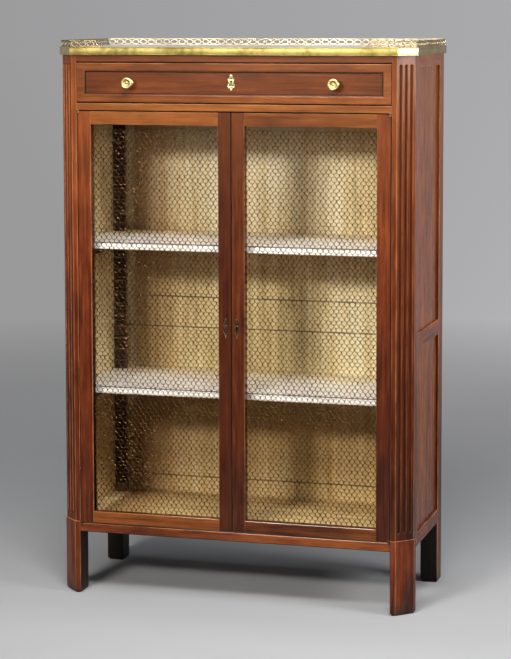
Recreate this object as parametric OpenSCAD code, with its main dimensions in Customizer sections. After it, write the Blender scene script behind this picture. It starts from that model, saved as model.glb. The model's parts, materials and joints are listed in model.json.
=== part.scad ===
// Low bookcase of about 1780 to 1800 pattern: canted and fluted front posts, one drawer,
// two wire-netted doors on corner pivots, adjustable shelves on toothed racks,
// a marble top in a brass edge band with a pierced brass gallery on three sides.
// Front faces -Y, the floor is Z = 0, the origin lies at the middle of the footprint.

/* [Carcase] */
// Width over the front posts
body_w = 914; // [860:1:980]
// Depth from the face of the doors to the back
body_d = 390; // [370:1:440]
// Clear height under the rails
leg_h = 160; // [140:1:180]
// Width of a front post along the front
post_w = 51; // [50:0.5:54]
// Depth of a front post along the side
post_d = 80; // [74:1:90]
// Cut of the canted corner, measured along either face
cant = 38; // [36:0.5:40]
// Width of a rear post along the back
rear_w = 45; // [42:1:50]
// Depth of a rear post along the side
rear_d = 50; // [46:1:56]
// Depth of a front leg along the side, below the post
leg_d = 54; // [46:1:70]
// How far the front legs stand proud of the posts above them
leg_proud = 2.5; // [1:0.1:4]
// Height at which the proud part of a front leg ends
leg_top = 188; // [182:1:192]
// Bevel along the lower edge of each foot
toe = 3; // [2:0.5:5]

/* [Flutes] */
// Radius of the half-round cutter
flute_r = 5.5; // [4:0.1:6]
// Depth of a flute below the canted face
flute_deep = 4; // [2.5:0.1:4.5]
// Distance from one flute to the next
flute_pitch = 15.6; // [13:0.1:16]
// Height of the lower stop of the flutes
flute_from = 203; // [198:1:230]
// Distance from the underside of the marble to the upper stop
flute_drop = 20; // [14:1:40]

/* [Rails and panels] */
// Height of the bottom rail under the doors
rail_bottom_h = 23; // [20:0.5:30]
// Height of the rail between the doors and the drawer
rail_drawer_h = 19.5; // [16:0.5:24]
// Depth of the rail between the doors and the drawer
rail_drawer_d = 60; // [45:1:70]
// Height of the rail under the marble
rail_top_h = 18; // [16:0.5:24]
// Thickness of the side rails
side_rail_t = 25; // [23:0.5:28]
// Height of the bottom rail on each side
side_bottom_h = 34; // [32:1:44]
// Height of the middle rail on each side
side_mid_h = 38; // [30:1:50]
// Height of the underside of the middle side rail above the floor
side_mid_z = 657; // [600:1:720]
// Height of the top rail on each side
side_top_h = 28; // [26:1:34]
// Thickness of the side panels
panel_t = 9; // [7:0.5:9]
// Recess of the side panels behind the face of their rails
panel_set = 6; // [4:0.5:6]
// Depth to which a panel enters its groove
groove_in = 7; // [5:0.5:8]
// Play between a panel and its groove
panel_play = 0.4; // [0.2:0.1:0.6]
// Length of the tenons of the carcase rails
tenon_l = 13; // [8:1:13]
// Thickness of the tenons of the carcase rails
tenon_t = 8; // [6:0.5:9]
// Shoulder left above and below each tenon
tenon_sh = 4; // [3:0.5:6]
// Play of a tenon in its mortise
tenon_play = 0.1; // [0.05:0.05:0.3]

/* [Back and boards] */
// Thickness of the back frame
back_t = 20; // [18:1:24]
// Distance from the back of the frame to the back of the posts
back_set = 4; // [2:0.5:8]
// Height of the bottom rail of the back above the underside of the rails
back_bottom_h = 79; // [60:1:100]
// Height of the underside of the middle rail of the back above the floor
back_mid_z = 645; // [600:1:700]
// Height of the middle rail of the back
back_mid_h = 82; // [60:1:100]
// Height of the top rail of the back
back_top_h = 90; // [70:1:110]
// Thickness of the back panels
back_panel_t = 10; // [9:0.5:12]
// Thickness of the tongue round a back panel
back_tongue_t = 5; // [4:0.5:6]
// Thickness of the bottom board
bottom_t = 18; // [16:0.5:22]
// Height of the top of the bottom board above the top of the bottom rail
bottom_up = 12; // [9:0.5:14]
// Width of the rebate in the side rails that takes the bottom board
rebate_board = 8; // [6:0.5:10]
// Thickness of the dust board over the doors
dust_t = 12; // [10:0.5:16]
// Thickness of the board under the marble
under_t = 14; // [12:0.5:16]
// Thickness of the lined boards inside the sides
lining_t = 4; // [3:0.5:6]
// Distance from the back of a closed door to the boards it stops against
stop_gap = 0.5; // [0.3:0.1:1]

/* [Shelves and racks] */
// Thickness of a shelf
shelf_t = 19; // [16:0.5:24]
// Setback of the shelves behind the face of the doors
shelf_back = 45; // [40:1:60]
// Rack step that carries the upper shelf, counted from the bottom
upper_step = 21; // [18:1:26]
// Rack step that carries the lower shelf, counted from the bottom
lower_step = 9; // [6:1:14]
// Distance from one rack step to the next
rack_pitch = 31; // [28:0.5:34]
// Height of the lowest step above the bottom board
rack_first = 19; // [8:0.5:24]
// Width of a rack across the front
rack_w = 34; // [32:1:38]
// Thickness of a rack
rack_t = 18; // [16:0.5:22]
// Depth of a rack step
tooth_in = 9; // [7:0.5:10]
// Flat land between two rack steps
tooth_land = 3; // [2:0.5:5]
// Height of a cleat
cleat_h = 20; // [14:0.5:21]
// Width of a cleat
cleat_w = 30; // [26:0.5:32]
// Play of a shelf or cleat against what stands beside it
shelf_play = 1; // [0.5:0.1:2]
// Play of a cleat end in its rack step
cleat_play = 0.4; // [0.2:0.1:0.8]

/* [Drawer] */
// Height of the drawer front
drawer_h = 99.6; // [90:0.1:110]
// Gap round the drawer front
drawer_gap = 1.2; // [0.6:0.1:1.5]
// Thickness of the drawer front
drawer_front_t = 22; // [20:0.5:22]
// Thickness of the drawer sides and back
drawer_side_t = 10; // [9:0.5:14]
// Distance from the face of the front to the back of the drawer
drawer_len = 318; // [300:1:320]
// Thickness of the drawer bottom
drawer_bottom_t = 6; // [5:0.5:8]
// Height of the drawer bottom above the runners
drawer_bottom_up = 10; // [9:0.5:14]
// Height of the drawer sides
drawer_side_h = 91; // [80:0.5:91]
// Lap of wood left in front of the dovetails
drawer_lap = 7; // [6:0.5:9]
// Number of dovetails at each corner
tails = 3; // [2:1:4]
// Play between the drawer and its runners, guides and kickers
drawer_play = 0.3; // [0.2:0.1:0.8]
// Play in the joints of the drawer
joint_play = 0.1; // [0.05:0.05:0.2]
// Setback of the drawer sides from the ends of the front
side_in = 0.2; // [0.1:0.1:0.5]
// Depth of the groove in the drawer sides for the bottom
groove_side = 5; // [4:0.5:6]
// Depth of the groove in the drawer front for the bottom
groove_front = 6; // [4:0.5:8]
// Wood left above and below a row of dovetails
tail_edge = 2; // [1:0.5:4]
// Half the wood between two dovetails
tail_gap = 4; // [3:0.5:6]
// Length over which a dovetail widens by one
tail_slope = 6; // [5:1:8]
// How much lower the back of the drawer is than its sides
back_down = 1; // [0:0.5:4]
// Border round the sunk field of the drawer front
field_border = 19; // [16:0.5:24]
// Depth of the sunk field
field_in = 4; // [3:0.5:5]
// Radius of the quarter-round moulding inside the border
mould_r = 3.4; // [2:0.1:3.6]
// Width of the drawer runners
runner_w = 46; // [40:1:50]
// Height of the side guides above the runners
guide_h = 30; // [20:1:40]
// Clear height between the drawer sides and the kickers
kick_play = 0.8; // [0.4:0.1:1.5]
// How far the kickers reach past the drawer sides
kick_in = 4; // [2:0.5:8]
// Distance of each drawer stop from the middle
stop_x = 243; // [180:1:250]
// Width of a drawer stop
stop_w = 40; // [30:1:50]
// Depth of a drawer stop
stop_d = 14; // [10:0.5:20]
// Height of a drawer stop
stop_h = 7; // [5:0.5:9]

/* [Knobs and escutcheons] */
// Distance of each knob from the middle of the drawer
knob_x = 265; // [220:1:300]
// Largest diameter of a knob
knob_d = 28; // [24:0.5:34]
// Length of a knob from the sunk field to its face
knob_len = 28; // [24:0.5:34]
// Diameter of the stem of a knob
knob_stem = 9; // [7:0.5:12]
// Thickness of the foot of a knob
knob_foot = 3.4; // [2.4:0.1:4]
// Length of the head of a knob, from the neck to its face
knob_head = 14; // [10:0.5:16]
// Depth of the dish in the face of a knob
knob_dish = 3; // [1.5:0.1:4]
// Thickness of the escutcheon plates
plate_t = 1.2; // [0.8:0.1:2]
// Height of the drawer escutcheon without its finial
scut_h = 24; // [20:0.5:28]
// Width of the drawer escutcheon
scut_w = 16.5; // [14:0.5:20]
// Height of the drawer's keyhole above the middle of the front
key_up = 6; // [2:0.5:8]
// Height of the door escutcheons without their tips
dscut_h = 30; // [26:0.5:34]
// Width of the door escutcheons
dscut_w = 13; // [10:0.5:14]
// Height of the keyholes of the doors above the floor
dscut_z = 704; // [660:1:760]
// Distance of the left escutcheon from the edge of its door
dscut_left = 14; // [11:0.5:18]
// Distance of the right escutcheon from the edge of its door
dscut_right = 13; // [11:0.5:18]
// Radius of the finial rings of the escutcheons
finial_r = 3.4; // [2.8:0.1:4]
// Radius of the holes in the finial rings
finial_hole = 1.6; // [1:0.1:2]
// Diameter of the round part of a keyhole
key_d = 6; // [5:0.5:7]
// Width of the slot of a keyhole
key_slot = 3; // [2:0.5:3.5]
// Length of a keyhole below the middle of its round part
key_l = 9; // [7:0.5:10]

/* [Doors] */
// Height of the doors
door_h = 1054.5; // [1000:0.5:1120]
// Thickness of the doors
door_t = 22; // [21:0.5:25]
// Gap between a door and the carcase
door_gap = 1.5; // [1:0.1:2]
// Gap between the two doors
meet_gap = 2; // [1.6:0.1:3]
// Width of the hinge stiles
stile_w = 35; // [32:0.5:45]
// Width of the meeting stiles
meet_w = 33; // [32:0.5:45]
// Height of the top rail of a door
door_top_h = 33; // [28:0.5:45]
// Height of the bottom rail of a door
door_bottom_h = 30; // [26:0.5:45]
// Length of the tenons of the door rails
door_tenon_l = 22; // [15:1:24]
// How far the door tenons lie behind the middle of the wood in front of the netting
tenon_back = 1; // [0:0.5:1]
// Width of the rebate that takes the netting
rebate_w = 8; // [6:0.5:9]
// Depth of the rebate from the back of the door
rebate_d = 10; // [8:0.5:11]
// Thickness of the netting
net_t = 1.4; // [1:0.1:2]
// Width of a strand of the netting
net_wire = 1.6; // [1.2:0.1:2.5]
// Number of meshes across a door
net_cols = 7; // [5:1:8]
// Number of rows of meshes up a door
net_rows = 25; // [19:2:31]
// Share of a mesh side that stands upright
net_up = 0.45; // [0.3:0.05:0.6]
// Play round the netting and its holding beads
net_play = 0.5; // [0.3:0.1:1]
// How far the holding beads lie below the back of the doors
bead_in = 0.5; // [0.3:0.1:1]
// How far the doors open, in degrees
door_open = 110; // [80:1:110]

/* [Pivots] */
// Radius of the round end of a pivot plate
pivot_r = 3.5; // [3:0.1:3.6]
// Distance of the pivot from the side of the opening
pivot_in = 3.7; // [3.7:0.1:4.5]
// Distance of the pivot in front of the face of the doors
pivot_out = 1; // [0.5:0.1:1.5]
// Diameter of the pivot pins
pin_d = 4; // [3:0.1:4.2]
// Play of a pin in its hole, on the radius
pin_play = 0.05; // [0.02:0.01:0.1]
// Thickness of the carcase plates
pivot_t = 2; // [1.5:0.1:3]
// Thickness of the door plates
pivot_door_t = 5; // [4:0.5:7]
// Length of a plate along the edge of the door
pivot_l = 30; // [24:1:33]
// Width of the flat part of a plate
pivot_w = 12; // [10:0.5:14]
// Distance of the flat part of a plate behind the face of the doors
pivot_back = 3; // [2:0.5:4]
// Play of a plate in its recess
plate_play = 0.1; // [0.05:0.05:0.2]
// Distance from the end of a pin to the far face of its door plate
pin_end = 0.5; // [0.3:0.1:1]

/* [Locks and bolts] */
// Width of the case of the drawer lock
dlock_w = 60; // [50:1:70]
// Height of the case of the drawer lock
dlock_h = 42; // [36:1:46]
// Depth of the case of the drawer lock
dlock_t = 10; // [9:0.5:12]
// Height of the drawer lock's bolt
dbolt_h = 21.5; // [18:0.5:24]
// Distance from the top of the drawn bolt to the top of the drawer front
dbolt_down = 0.5; // [0.3:0.1:1]
// Width of the drawer lock's bolt
dbolt_w = 24; // [18:1:30]
// Thickness of both lock bolts
bolt_t = 4.5; // [4:0.5:5]
// Travel of both lock bolts
bolt_throw = 8; // [6:0.5:9]
// Height of the case of the door lock
rlock_h = 68; // [60:1:80]
// Width of the case of the door lock
rlock_w = 29; // [26:0.5:30]
// Depth of the case of the door lock
rlock_t = 9; // [8:0.5:10]
// Height of the door lock's bolt
rbolt_h = 20; // [16:0.5:26]
// Length of the door lock's bolt
rbolt_l = 20; // [16:0.5:24]
// Distance of the lock case and the keeper from the edges of the doors
lock_edge = 1; // [0.5:0.1:2]
// Width of the keeper on the left door
keeper_w = 17; // [14:0.5:20]
// Depth of the keeper
keeper_t = 8; // [7.5:0.5:9]
// Metal above and below the hole of the keeper
keeper_over = 6; // [4:0.5:8]
// Play round a sliding bolt
bolt_play = 0.2; // [0.1:0.05:0.3]
// Diameter of the rods of the two upright bolts
rod_d = 6; // [5:0.5:7]
// Length of the rods of the two upright bolts
rod_l = 120; // [100:1:160]
// Travel of the two upright bolts
rod_throw = 11; // [8:0.5:12]
// Clear space between a drawn rod and the board it locks into
rod_rest = 1.5; // [1:0.1:3]
// Distance from the back of the left door to its rods
rod_off = 2.5; // [2:0.5:4]
// Play of a rod in the board it locks into, on the diameter
rod_hole = 0.8; // [0.4:0.1:1.5]
// Diameter of the thumb pin of a rod
thumb_d = 5; // [4:0.5:6]
// Length of the thumb pin of a rod past the rod itself
thumb_l = 4; // [3:0.5:8]
// Length of the plates that carry the upright bolts
rod_plate_l = 100; // [92:1:110]
// Thickness of the plates that carry the upright bolts
rod_plate_t = 1.5; // [1:0.1:2]
// Distance of each staple from the middle of its plate
staple_z = 41; // [30:1:44]
// Height of a staple along the rod
staple_h = 10; // [8:0.5:12]
// Metal of a staple beside and behind the rod
staple_t = 2; // [1.5:0.1:3]
// Width of the plates that carry the upright bolts
rod_plate_w = 16; // [14:0.5:20]

/* [Top, band and gallery] */
// Thickness of the marble
marble_t = 20; // [16:0.5:26]
// Overhang of the marble at the front, the cants and the sides
marble_out = 4.5; // [3:0.1:6]
// Thickness of the brass band round the marble
band_t = 1.8; // [1.4:0.1:2.5]
// Height and projection of the two lips along the band
band_lip = 2.2; // [1.6:0.1:3]
// Distance of the lips from the edges of the band
band_edge = 0.6; // [0.4:0.1:2]
// Gap at the joints of the band
band_joint = 0.2; // [0.1:0.1:0.5]
// Length of the gallery's returns along the front
return_l = 80; // [70:1:110]
// Height of the gallery
gallery_h = 17; // [15:0.5:21]
// Thickness of the gallery
gallery_t = 2; // [1.6:0.1:2.5]
// Setback of the gallery behind the edge of the marble
gallery_set = 1; // [0.5:0.1:2]
// Wanted length of one bay of the piercing
bay = 21.6; // [18:0.1:26]
// Length of one pierced eye
eye_l = 14.5; // [12:0.1:16]
// Height of one pierced eye
eye_h = 8; // [6:0.1:8.4]
// Diameter of the small holes between the eyes
dot_d = 3; // [2:0.1:3.6]
// Plain metal left at the ends of each pierced run
pierce_end = 2; // [1:0.5:4]
// Radius of the hollow sweep at the end of a return
sweep_r = 13; // [11:0.5:14]
// Width of the foot of the gallery
foot_w = 6; // [4:0.5:8]
// Thickness of the foot of the gallery
foot_t = 1.4; // [1:0.1:2]
// Height of the rim along the top of the gallery
rim_h = 2.4; // [1.6:0.1:3]
// How far the rim stands out on either side of the gallery
rim_out = 0.6; // [0.4:0.1:1]
// Radius of the small curl that ends a return
curl_r = 2.6; // [2:0.1:3]
// How far the curl stands out on either side of the gallery
curl_out = 0.5; // [0.2:0.1:1]
// Height of the lowest point of the curl above the marble
curl_up = 0.4; // [0.2:0.1:0.8]

/* [Hidden] */
$fn = 48;

mahogany = [0.50, 0.25, 0.14];
old_wood = [0.16, 0.09, 0.07];
cream = [0.80, 0.72, 0.50];
oak = [0.62, 0.47, 0.30];
brass = [0.80, 0.66, 0.30];
marble = [0.88, 0.87, 0.85];
steel = [0.45, 0.43, 0.41];

// Small overrun of cutters past the faces they open
cut = 1;
// Overrun of the toe bevels past the corners of a foot
toe_over = 20;
// How much wider the keyholes in the wood are than those in the plates
key_more = 1;
// Gap left in the mitres of beads and mouldings
mitre_gap = 0.1;
// Reach of the moulding's mitre cutters as a share of its radius
mitre_reach = 1.5;
// Heights of the front, from the floor up
z_door = leg_h + rail_bottom_h + door_gap;
z_door_top = z_door + door_h;
z_mid = z_door_top + door_gap;
z_run = z_mid + rail_drawer_h;
z_front = z_run + drawer_gap;
z_front_top = z_front + drawer_h;
z_upper = z_front_top + drawer_gap;
z_marble = z_upper + rail_top_h;
z_top = z_marble + marble_t;
z_board = leg_h + rail_bottom_h + bottom_up;
z_dust = z_mid - dust_t;
z_under = z_marble - under_t;
// Heights of the side rails, the front rails and the back rails
side_rails = [[leg_h, leg_h + side_bottom_h], [side_mid_z, side_mid_z + side_mid_h],
    [z_marble - side_top_h, z_marble]];
front_rails = [[leg_h, leg_h + rail_bottom_h], [z_mid, z_run], [z_upper, z_marble]];
back_rails = [[leg_h, leg_h + back_bottom_h], [back_mid_z, back_mid_z + back_mid_h],
    [z_marble - back_top_h, z_marble]];
// Half widths
half_w = body_w / 2;
open_x = half_w - post_w;
rear_x = half_w - rear_w;
rail_x = half_w - side_rail_t;
board_x = rail_x - lining_t;
// Depths
inner_y = door_t + stop_gap;
rear_y = body_d - rear_d;
back_y = body_d - back_set - back_t;
mid_y = (body_d - knob_len + field_in) / 2;
// How much an offset of the canted outline moves its corners along the faces
k = tan(22.5);
// Doors
door_x = open_x - door_gap;
meet_x = meet_gap / 2;
pivot_x = open_x - pivot_in;
net_x0 = meet_x + meet_w;
net_x1 = door_x - stile_w;
net_z0 = z_door + door_bottom_h;
net_z1 = z_door_top - door_top_h;
net_y = door_t - rebate_d;
door_rail_z = [[z_door, net_z0], [net_z1, z_door_top]];
lock_x = meet_x + lock_edge;
rod_x = meet_x + meet_w / 2;
rod_y = door_t + rod_d / 2 + rod_off;
// Rack steps
rack_n = floor((z_dust - z_board - rack_first) / rack_pitch);
upper_z = z_board + rack_first + upper_step * rack_pitch + cleat_h;
lower_z = z_board + rack_first + lower_step * rack_pitch + cleat_h;
// Drawer
drawer_x = open_x - drawer_gap;
side_z = z_run + drawer_play;
side_x = drawer_x - side_in;
bottom_z = side_z + drawer_bottom_up;
bottom_top = bottom_z + drawer_bottom_t;
side_top = side_z + drawer_side_h;
kick_z = side_top + kick_play;
key_z = (z_front + z_front_top) / 2 + key_up;
lock_z = z_front_top - dlock_h;
dbolt_top = z_front_top - dbolt_down;
lap_l = drawer_front_t - drawer_lap;
tail_z0 = z_front + tail_edge;
tail_z1 = side_top - tail_edge;
// Sunk field of the drawer front
field_x = drawer_x - field_border;
field_z0 = z_front + field_border;
field_z1 = z_front_top - field_border;
// Lower end, waist, neck and tail of the door escutcheons, and the middle of their finial ring
slim_low = 2;
slim_waist = dscut_w * 0.76;
slim_neck = dscut_w / 4;
slim_tail = dscut_w * 0.85;
slim_ring = dscut_h / 2 + dscut_w * 0.35;
// Size of their finial ring as a share of the one on the drawer
slim_share = 0.76;
// Radius of the hollow sides of the drawer escutcheon
shield_waist = scut_w / 2;
// Reach of its plate above and below the middle of the keyhole
shield_top = scut_h * 0.38;
shield_low = scut_h - shield_top;
// Netting
net_w = net_x1 - net_x0;
net_h = net_z1 - net_z0;
cell_w = net_w / net_cols;
cell_h = net_h / net_rows;
// Shares of a strand by which the corners and the tips of a mesh are drawn in
net_corner = 0.4;
net_tip = 0.9;
mesh_w = (cell_w - net_wire) / 2;
mesh_up = (cell_h * net_up - net_wire * net_corner) / 2;
mesh_tip = cell_h * (1 - net_up / 2) - net_wire * net_tip;
// Band and gallery
return_x = -half_w + cant + return_l;
band_o = marble_out + band_t;
gallery_o = marble_out - gallery_set - gallery_t;
rim_z = z_top + gallery_h - rim_h;
// Heights of the dots of the piercing as a share of the height of an eye
dot_share = 0.45;
// Start, direction in degrees and length of the left side and the left cant
runs = [[[-half_w, body_d], 270, body_d - cant], [[-half_w, cant], 315, cant * sqrt(2)]];

// Corners of the canted plan, moved outwards by o, from the back left to the back right
function plan(o) = [[-half_w - o, body_d], [-half_w - o, cant - o * k],
    [-half_w + cant - o * k, -o], [half_w - cant + o * k, -o], [half_w + o, cant - o * k],
    [half_w + o, body_d]];

// Box from one corner to the opposite corner
module box(a, b) translate(a) cube(b - a);

// Everything is drawn with the door faces at Y = 0 and then moved to the middle of the depth
module centred() translate([0, -mid_y, 0]) children();

module flip() mirror([1, 0, 0]) children();

module both_sides() {
    children();
    flip() children();
}

// Plan of a front post of depth d, its outer faces moved outwards by o
function post_plan(o, d) = [[-half_w - o, d], [-half_w - o, cant - o * k],
    [-half_w + cant - o * k, -o], [-open_x, -o], [-open_x, d]];

module flute(i) {
    out = (flute_r - flute_deep) * sqrt(0.5);
    along = i * flute_pitch * sqrt(0.5);
    z1 = z_marble - flute_drop - flute_r;
    translate([-half_w + cant / 2 - out + along, cant / 2 - out - along, flute_from + flute_r]) {
        cylinder(h = z1 - flute_from - flute_r, r = flute_r);
        sphere(r = flute_r);
        translate([0, 0, z1 - flute_from - flute_r]) sphere(r = flute_r);
    }
}

// Side panels of the left side, grown by g to make their grooves
module side_panels(g) {
    x0 = -half_w + panel_set - g;
    x1 = -half_w + panel_set + panel_t + g;
    y0 = post_d - groove_in - g;
    y1 = rear_y + groove_in + g;
    box([x0, y0, leg_h + side_bottom_h - groove_in], [x1, y1, side_mid_z + groove_in + g]);
    box([x0, y0, side_mid_z + side_mid_h - groove_in],
        [x1, y1, z_marble - side_top_h + groove_in + g]);
}

module side_tenons(g) for (r = side_rails)
    box([-rail_x - side_rail_t / 2 - tenon_t / 2 - g, post_d - tenon_l - g, r[0] + tenon_sh - g],
        [-rail_x - side_rail_t / 2 + tenon_t / 2 + g, rear_y + tenon_l + g, r[1] - tenon_sh + g]);

module front_tenon(r, g) box(
    [-open_x - tenon_l - g, (inner_y - tenon_t) / 2 - g, r[0] + tenon_sh - g],
    [open_x + tenon_l + g, (inner_y + tenon_t) / 2 + g, r[1] - tenon_sh + g]);

module back_tenons(g) for (r = back_rails)
    box([-rear_x - tenon_l - g, back_y + (back_t - tenon_t) / 2 - g, r[0] + tenon_sh - g],
        [rear_x + tenon_l + g, back_y + (back_t + tenon_t) / 2 + g, r[1] - tenon_sh + g]);

// Bevel along one lower edge of a foot, from p to q, the timber on the left of that line
module toe_cut(p, q) {
    d = q - p;
    translate([p[0], p[1], 0]) rotate(atan2(d[1], d[0])) rotate([45, 0, 0])
        translate([-toe_over, -toe * 2, -toe * sqrt(0.5)])
            cube([norm(d) + 2 * toe_over, toe * 4, toe * sqrt(2)]);
}

module front_post() difference() {
    union() {
        translate([0, 0, leg_h]) linear_extrude(z_marble - leg_h) polygon(post_plan(0, post_d));
        linear_extrude(leg_top) polygon(post_plan(leg_proud, leg_d));
    }
    for (i = [-1:1]) flute(i);
    side_panels(panel_play);
    side_tenons(tenon_play);
    for (r = front_rails) front_tenon(r, tenon_play);
    foot_bevels(post_plan(leg_proud, leg_d));
}

// Bevels round the lower end of a foot with the plan p
module foot_bevels(p) for (i = [0:len(p) - 1]) toe_cut(p[i], p[(i + 1) % len(p)]);

module rear_post() difference() {
    box([-half_w, rear_y, 0], [-rear_x, body_d, z_marble]);
    side_panels(panel_play);
    side_tenons(tenon_play);
    back_tenons(tenon_play);
    back_panel_solids(panel_play);
    foot_bevels([[-half_w, body_d], [-half_w, rear_y], [-rear_x, rear_y], [-rear_x, body_d]]);
}

module post_front_left() color(mahogany) centred() front_post();
module post_front_right() color(mahogany) centred() flip() front_post();
module post_rear_left() color(mahogany) centred() rear_post();
module post_rear_right() color(mahogany) centred() flip() rear_post();

// Upper or lower front rail with its tenons, depth d
module front_rail(r, d) {
    box([-open_x, 0, r[0]], [open_x, d, r[1]]);
    front_tenon(r, 0);
}

module rail_front_top() color(mahogany) centred() difference() {
    front_rail(front_rails[2], inner_y);
    drawer_bolt_solid(bolt_throw + bolt_play, bolt_play);
}

module rail_drawer() color(mahogany) centred() difference() {
    front_rail(front_rails[1], rail_drawer_d);
    both_sides() carcase_plate(z_mid, plate_play);
}

module rail_front_bottom() color(mahogany) centred() difference() {
    front_rail(front_rails[0], inner_y);
    both_sides() carcase_plate(z_door - door_gap - pivot_t, plate_play);
}

module side_rail_set() difference() {
    union() {
        for (r = side_rails) box([-half_w, post_d, r[0]], [-rail_x, rear_y, r[1]]);
        side_tenons(0);
    }
    side_panels(panel_play);
    // the bottom board rests in a rebate
    box([-rail_x - rebate_board, post_d - cut, z_board - bottom_t],
        [-rail_x + cut, rear_y + cut, leg_h + side_bottom_h + cut]);
}

module rails_left() color(mahogany) centred() side_rail_set();
module rails_right() color(mahogany) centred() flip() side_rail_set();
module panels_left() color(mahogany) centred() side_panels(0);
module panels_right() color(mahogany) centred() flip() side_panels(0);

module back_frame() color(old_wood) centred() difference() {
    union() {
        for (r = back_rails) box([-rear_x, back_y, r[0]], [rear_x, back_y + back_t, r[1]]);
        back_tenons(0);
    }
    back_panel_solids(panel_play);
}

// Panels let in flush on the inside, with a tongue all round
module back_panel_solids(g) for (i = [0:1]) {
    z0 = back_rails[i][1];
    z1 = back_rails[i + 1][0];
    s = panel_play * 2;
    box([-rear_x + s - g, back_y - (g > 0 ? cut : 0), z0 + s - g],
        [rear_x - s + g, back_y + back_panel_t + g, z1 - s + g]);
    box([-rear_x - groove_in - g, back_y + back_panel_t - back_tongue_t - g, z0 - groove_in],
        [rear_x + groove_in + g, back_y + back_panel_t + g, z1 + groove_in + g]);
}

module back_panels() color(cream) centred() back_panel_solids(0);

// Plan of a board that clears the posts, its sides at half width w
module board_plan(w, y0) polygon([[-open_x, y0], [open_x, y0], [open_x, post_d], [w, post_d],
    [w, rear_y], [rear_x, rear_y], [rear_x, back_y], [-rear_x, back_y], [-rear_x, rear_y],
    [-w, rear_y], [-w, post_d], [-open_x, post_d]]);

module bottom_board() color(cream) centred() difference() {
    translate([0, 0, z_board - bottom_t]) linear_extrude(bottom_t)
        board_plan(rail_x + rebate_board, inner_y);
    translate([-rod_x, rod_y, z_board - rod_throw - cut])
        cylinder(h = rod_throw + 2 * cut, d = rod_d + rod_hole);
}

module dust_board() color(oak) centred() difference() {
    translate([0, 0, z_dust]) linear_extrude(dust_t)
        board_plan(half_w - panel_set - panel_t - panel_play, inner_y);
    translate([-rod_x, rod_y, z_dust - cut])
        cylinder(h = rod_throw + 2 * cut, d = rod_d + rod_hole);
}

module under_top() color(oak) centred() translate([0, 0, z_under]) linear_extrude(under_t)
    board_plan(rail_x, inner_y);

module lining() box([-rail_x, post_d, z_board], [-board_x, rear_y, z_dust]);
module lining_left() color(cream) centred() lining();
module lining_right() color(cream) centred() flip() lining();

// Marble slab and its brass band

module marble_top() color(marble) centred() translate([0, 0, z_marble]) linear_extrude(marble_t)
    polygon(plan(marble_out));

// Left part of the canted outline, moved outwards by o, from y1 at the back to x1 on the front
function path_left(o, y1, x1) = [[-half_w - o, y1], [-half_w - o, cant - o * k],
    [-half_w + cant - o * k, -o], [x1, -o]];

// Upright strip that follows the left part of the outline between the offsets a and b
module strip_left(a, b, y1, x1, h) linear_extrude(h)
    polygon(concat(path_left(b, y1, x1), [for (i = [3:-1:0]) path_left(a, y1, x1)[i]]));

module band_side() {
    translate([0, 0, z_marble]) strip_left(marble_out, band_o, body_d, return_x, marble_t);
    for (z = [band_edge, marble_t - band_edge - band_lip])
        translate([0, 0, z_marble + z])
            strip_left(band_o - band_t / 2, band_o + band_lip / 2, body_d, return_x, band_lip);
}

module band_left() color(brass) centred() band_side();
module band_right() color(brass) centred() flip() band_side();
module band_front() color(brass) centred() {
    x = -return_x - band_joint;
    box([-x, -band_o, z_marble], [x, -marble_out, z_top]);
    for (z = [band_edge, marble_t - band_edge - band_lip])
        box([-x, -band_o - band_lip / 2, z_marble + z],
            [x, -band_o + band_t / 2, z_marble + z + band_lip]);
}

// One eye of the piercing: two arcs that meet in points
module eye() {
    r = (eye_l * eye_l + eye_h * eye_h) / (4 * eye_h);
    intersection() {
        translate([0, r - eye_h / 2]) circle(r = r);
        translate([0, eye_h / 2 - r]) circle(r = r);
    }
}

// Piercing of a strip from x0 to x1: eyes, with two dots between neighbours
module piercing(x0, x1) {
    n = round((x1 - x0) / bay);
    p = (x1 - x0) / n;
    z = foot_t + (gallery_h - foot_t - rim_h) / 2;
    for (i = [0:n - 1]) translate([x0 + p * (i + 0.5), z]) eye();
    for (i = [1:n - 1], s = [-1, 1]) translate([x0 + p * i, z + s * eye_h * dot_share])
        circle(d = dot_d);
}

// Cutter for the piercing of a run that starts at p and heads in direction a
module pierce(p, a, x0, x1) translate([p[0], p[1], z_top]) rotate([90, 0, a])
    translate([0, 0, gallery_o - cut]) linear_extrude(gallery_t + 2 * cut) piercing(x0, x1);

module gallery_side() {
    y1 = body_d - gallery_t;
    o = gallery_o + gallery_t;
    difference() {
        union() {
            translate([0, 0, z_top]) strip_left(gallery_o, o, y1, return_x, gallery_h - rim_h);
            translate([0, 0, z_top]) strip_left(o - foot_w, o, y1, return_x - cut, foot_t);
            translate([return_x, -gallery_o + curl_out, z_top + curl_r + curl_up]) rotate([90, 0, 0])
                cylinder(h = gallery_t + 2 * curl_out, r = curl_r);
        }
        pierce(runs[0][0], runs[0][1], gallery_t + 2 * pierce_end, runs[0][2] - pierce_end);
        pierce(runs[1][0], runs[1][1], pierce_end, runs[1][2] - pierce_end);
        pierce([-half_w + cant, 0], 0, pierce_end, return_l - sweep_r - pierce_end);
        translate([return_x + cut, foot_w, rim_z + cut]) rotate([90, 0, 0])
            cylinder(h = 2 * foot_w, r = sweep_r);
    }
    translate([0, 0, rim_z])
        strip_left(gallery_o - rim_out, o + rim_out, y1 - rim_out, return_x - sweep_r, rim_h);
}

module gallery_left() color(brass) centred() gallery_side();
module gallery_right() color(brass) centred() flip() gallery_side();

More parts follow.
